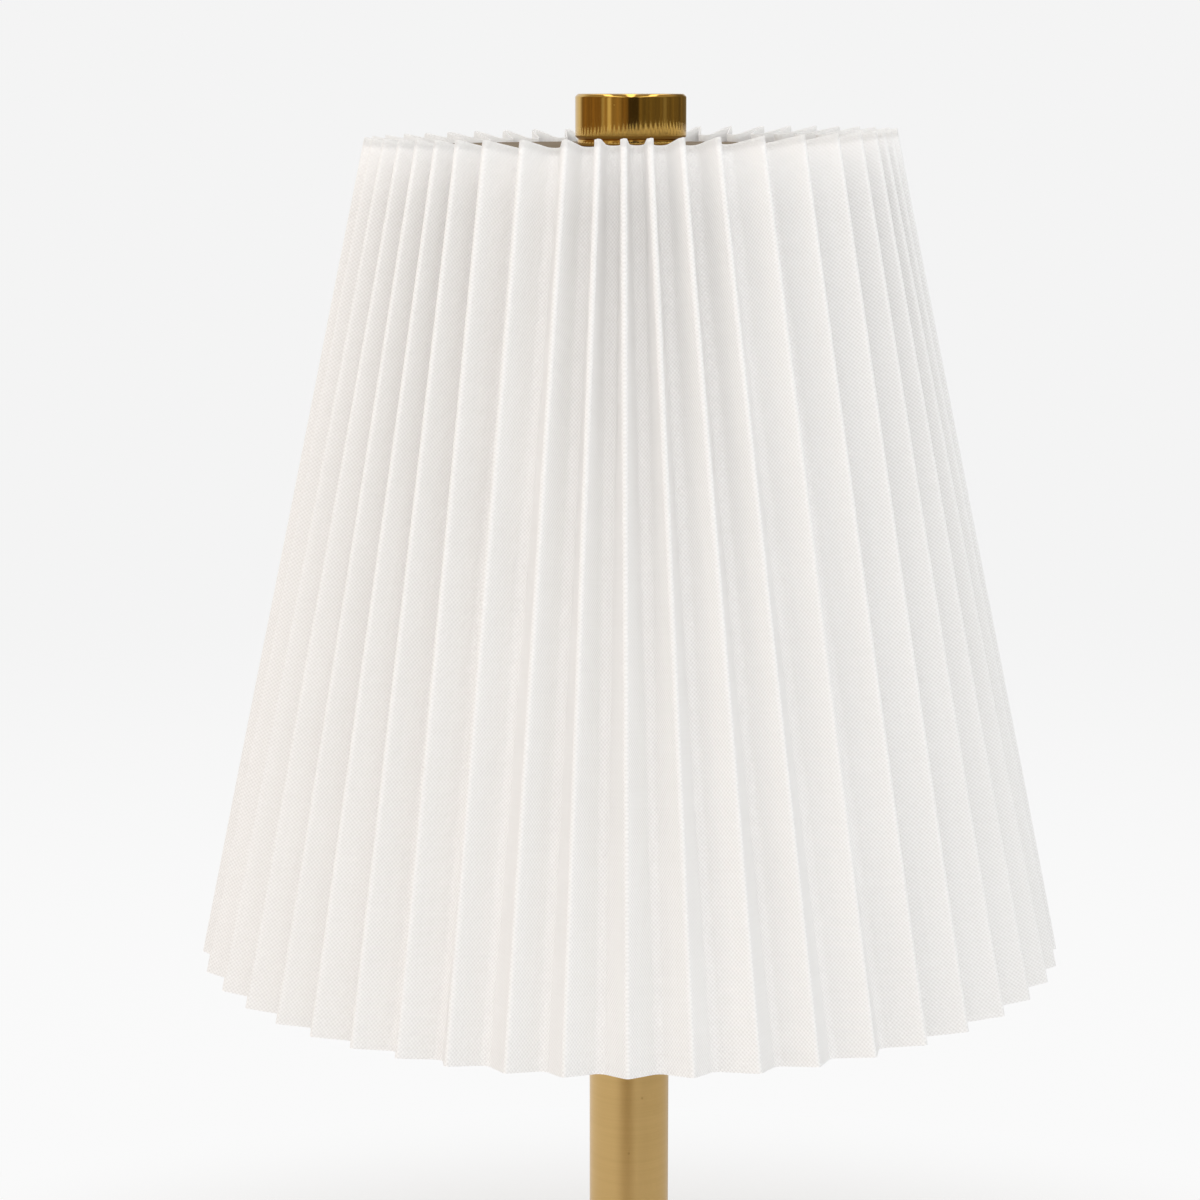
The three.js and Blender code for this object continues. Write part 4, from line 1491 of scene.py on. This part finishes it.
    def build(self) -> None:
        """Builds and dresses the base."""
        dress(self.shell(), SATIN_BRASS, Body.LAMP, "base_shell")
        dress(self.foot(), SILICONE, Body.LAMP, "foot_ring")
        dress(self.socket(), STEEL, Body.LAMP, "usb_c_socket")
        dress(self.tongue(), DARK_PLASTIC, Body.LAMP)
        dress(self.lens(), LENS, Body.LAMP, "charge_light")
        for i in range(1, self.screws + 1):
            dress(self.screw(f"key_screw_{i}", f"cover_screw_{i}"), STEEL, Body.LAMP, f"cover_screw_{i}")
        paint(DARK_PLASTIC, "bottom_cover")
        paint(STEEL, "ballast_disc", "board_screw_1", "board_screw_2")
        paint(FOIL, "battery_pack")
        paint(GREEN_BOARD, "control_board")
        paint(SHEATH, "battery_lead")


@dataclass(frozen=True)
class SoftBox:
    """A large soft lamp that shines from a place towards the shade."""

    name: str
    place: Point
    size: float
    power: float
    tint: Colour = WHITE

    def build(self, aim: Vector) -> None:
        """Hangs the lamp and points it at the aim.

        Args:
            aim: the point that it shines at.
        """
        lamp = bpy.data.lights.new(self.name, "AREA")
        lamp.size = self.size
        lamp.energy = self.power
        lamp.color = self.tint
        box = bpy.data.objects.new(self.name, lamp)
        box.location = self.place
        box.rotation_euler = (aim - Vector(self.place)).to_track_quat("-Z", "Y").to_euler()
        box.visible_glossy = False
        bpy.context.scene.collection.objects.link(box)


@dataclass(frozen=True)
class Streak:
    """An upright streak of the room: its direction from the front, half its width and its strength."""

    at: float
    half: float
    share: float
    colour: Colour
    soft: float = 0.08


@dataclass
class Studio:
    """A pale table before a white wall, soft lamps, and the dim room that the polished brass reflects."""

    eye: Point = (-0.00553, -0.5344, 0.30341)
    pitch: float = 10.15
    lens: float = 88.08
    sensor: float = 36.0
    wall_white: float = 0.905
    table_white: float = 0.955
    left_fill: Colour = (0.825, 0.760, 0.712)
    right_fill: Colour = (0.745, 0.761, 0.772)
    table_radius: float = 1.2
    table_colour: Colour = (0.76, 0.76, 0.755)
    table_dull: float = 0.98
    table_clouds: float = 30.0
    table_roughness: float = 0.8
    shadow_radius: float = 0.16
    clear_radius: float = 0.30
    # painted shade on the table, seen only in reflections: dark sectors at the front and towards the right
    # and back that darken what the brass reflects
    table_shade_streaks: tuple[Streak, ...] = (
        Streak(1.75, 1.10, 0.48, (0.45, 0.42, 0.36), 0.4),
        Streak(-0.10, 0.06, 0.95, (0.40, 0.32, 0.19), 0.5),
    )
    left_room: Colour = (0.32, 0.195, 0.075)
    right_room: Colour = (0.205, 0.160, 0.080)
    room_change: float = 0.5
    backdrop: Colour = (0.78, 0.77, 0.74)
    left_end: float = 2.05
    right_end: float = 2.75
    turn_away: float = 0.3
    ripples: float = 5.0
    ripple_detail: float = 4.0
    ripple_low: float = 0.3
    ripple_high: float = 0.7
    ripple_share: float = 0.6
    ceiling: Colour = (0.42, 0.36, 0.26)
    ceiling_low: float = 0.45
    ceiling_high: float = 0.70
    panel: Colour = (2.4, 2.3, 2.1)
    panel_pitch: float = 0.42
    panel_low: float = 0.2
    panel_high: float = 0.7
    panel_reach: float = 0.50
    panel_fade: float = 0.2
    streaks: tuple[Streak, ...] = (
        Streak(0.09, 0.16, 0.86, (0.025, 0.020, 0.015)),
        Streak(-0.68, 0.30, 0.22, (0.55, 0.47, 0.30)),
        Streak(-0.80, 0.03, 0.70, (0.90, 0.85, 0.70)),
        Streak(-1.05, 0.02, 0.35, (0.90, 0.85, 0.70)),
        Streak(1.30, 0.03, 0.30, (0.60, 0.55, 0.42)),
    )
    boxes: tuple[SoftBox, ...] = (
        SoftBox("left_box", (-1.1, -0.9, 0.9), 0.9, 2.2, (1.0, 0.93, 0.86)),
        SoftBox("right_box", (1.2, -0.6, 0.8), 0.9, 1.3, (0.97, 0.985, 1.0)),
        SoftBox("top_box", (0.0, -0.85, 1.25), 1.2, 4.6),
        SoftBox("rear_box", (-0.2, 1.3, 1.0), 1.0, 4.0, (0.95, 0.98, 1.0)),
    )

    def camera(self) -> None:
        """Sets up the camera at the height and tilt of the picture."""
        scene = bpy.context.scene
        camera = bpy.data.objects.new("camera", bpy.data.cameras.new("camera"))
        camera.data.lens = self.lens
        camera.data.sensor_width = self.sensor
        camera.location = self.eye
        camera.rotation_euler = Euler((math.radians(90.0 - self.pitch), 0.0, 0.0))
        scene.collection.objects.link(camera)
        scene.camera = camera
        scene.view_settings.view_transform = "Standard"

    def streaked(self, recipe: Recipe, colour: Term, azimuth: Term, streaks: Sequence[Streak]) -> Term:
        """Lays upright streaks over a colour.

        Args:
            recipe: the recipe that the nodes go into.
            colour: the colour underneath.
            azimuth: direction from the lamp in radians.
            streaks: the streaks in order.

        Returns:
            The colour with the streaks on it.
        """
        for streak in streaks:
            away = abs(azimuth - streak.at).step(streak.half, streak.half + streak.soft)
            colour = recipe.blend((1.0 - away) * streak.share, colour, streak.colour)
        return colour

    def surround(self, recipe: Recipe) -> Term:
        """Colours the room by direction.

        Args:
            recipe: the recipe that the nodes go into.

        Returns:
            The colour: white behind the lamp, dim in front, soft panels overhead.
        """
        x, y, z = recipe.axes(recipe.add("ShaderNodeTexCoord", output="Generated"))
        azimuth = x.angle_from(y * -1.0)
        ripple = recipe.mottle(recipe.vector(azimuth, 0.0, 0.0), self.ripples, self.ripple_detail)
        dim = (1.0 - ripple.step(self.ripple_low, self.ripple_high)) * self.ripple_share
        side = azimuth.step(-self.room_change, self.room_change)
        room = recipe.blend(side, self.left_room, self.right_room)
        room = recipe.blend(dim, room, self.streaks[0].colour)
        room = self.streaked(recipe, room, azimuth, self.streaks)
        left = (azimuth * -1.0).step(self.left_end, self.left_end + self.turn_away)
        right = azimuth.step(self.right_end, self.right_end + self.turn_away)
        around = recipe.blend(left + right, room, self.backdrop)
        sideways = x / z
        waves = (sideways * (TURN / self.panel_pitch) + TURN / 4.0).sine()
        panels = waves.step(self.panel_low, self.panel_high)
        beyond = abs(sideways).step(self.panel_reach, self.panel_reach + self.panel_fade)
        panels = panels * (1.0 - beyond)
        overhead = recipe.blend(panels, self.ceiling, self.panel)
        return recipe.blend(z.step(self.ceiling_low, self.ceiling_high), around, overhead)

    def world(self) -> None:
        """Sets up the even light of the studio, and the white and the dim room that rays see in it."""
        world = bpy.data.worlds.new("studio")
        bpy.context.scene.world = world
        recipe = Recipe(world)
        glossy = recipe.add("ShaderNodeLightPath", output="Is Glossy Ray")
        seen = recipe.blend(glossy, (self.wall_white,) * 3, self.surround(recipe))
        x = recipe.axes(recipe.add("ShaderNodeTexCoord", output="Generated"))[0]
        fill = recipe.blend(x.step(-1.0, 1.0), self.left_fill, self.right_fill)
        colour = recipe.blend(recipe.seen_rays(), fill, seen)
        recipe.close(recipe.add("ShaderNodeBackground", inputs={"Color": colour, "Strength": 1.0}))

    def table(self) -> None:
        """Builds the pale table, which keeps the lamp's shadow, fades to white away from it and shows
        painted shade to glossy rays.
        """
        outline = circle(self.table_radius, FACETS)
        mesh = bpy.data.meshes.new("table")
        mesh.from_pydata([(x, y, 0.0) for x, y in outline], [], [range(len(outline))])
        table = placed("table", mesh)
        recipe = Recipe(bpy.data.materials.new("table"))
        place = recipe.place()
        distance = recipe.add("ShaderNodeVectorMath", {"operation": "LENGTH"}, {0: place}, "Value")
        clear = distance.step(self.shadow_radius, self.clear_radius)
        cloudy = recipe.mottle(place, self.table_clouds)
        dull = tuple(self.table_dull * channel for channel in self.table_colour)
        colour = recipe.blend(cloudy, dull, self.table_colour)
        lit = recipe.surface(Base_Color=colour, Roughness=self.table_roughness)
        far = distance.step(self.clear_radius, self.table_radius)
        white = recipe.blend(far, (self.table_white,) * 3, (self.wall_white,) * 3)
        x, y, _ = recipe.axes(place)
        glossy = recipe.add("ShaderNodeLightPath", output="Is Glossy Ray")
        # painted shade: glossy rays see the table darkened in the listed sectors
        painted_gloss_shade = self.streaked(recipe, white, x.angle_from(y * -1.0), self.table_shade_streaks)
        seen = recipe.blend(glossy, white, painted_gloss_shade)
        glow = recipe.add("ShaderNodeEmission", inputs={"Color": seen, "Strength": 1.0})
        share = clear * recipe.seen_rays()
        recipe.close(recipe.add("ShaderNodeMixShader", inputs={0: share, 1: lit, 2: glow}))
        mesh.materials.append(recipe.owner)

    def build(self) -> None:
        """Builds the camera, the light and the table."""
        self.camera()
        self.world()
        self.table()
        lowest, highest = cad_box
        aim = Vector((0.0, 0.0, (lowest.z + 2.0 * highest.z) / 3.0))
        for box in self.boxes:
            box.build(aim)


def main() -> None:
    """Builds the studio and every sub-assembly of the lamp in order."""
    logging.basicConfig(level=logging.INFO, format="%(name)s: %(message)s")
    assemblies = (Studio(), PleatedShade(), FinialKnob(), LightHead(), BrassStem(), WeightedBase())
    for assembly in assemblies:
        log.info("building %s", type(assembly).__name__)
        assembly.build()


if __name__ == "__main__":
    main()
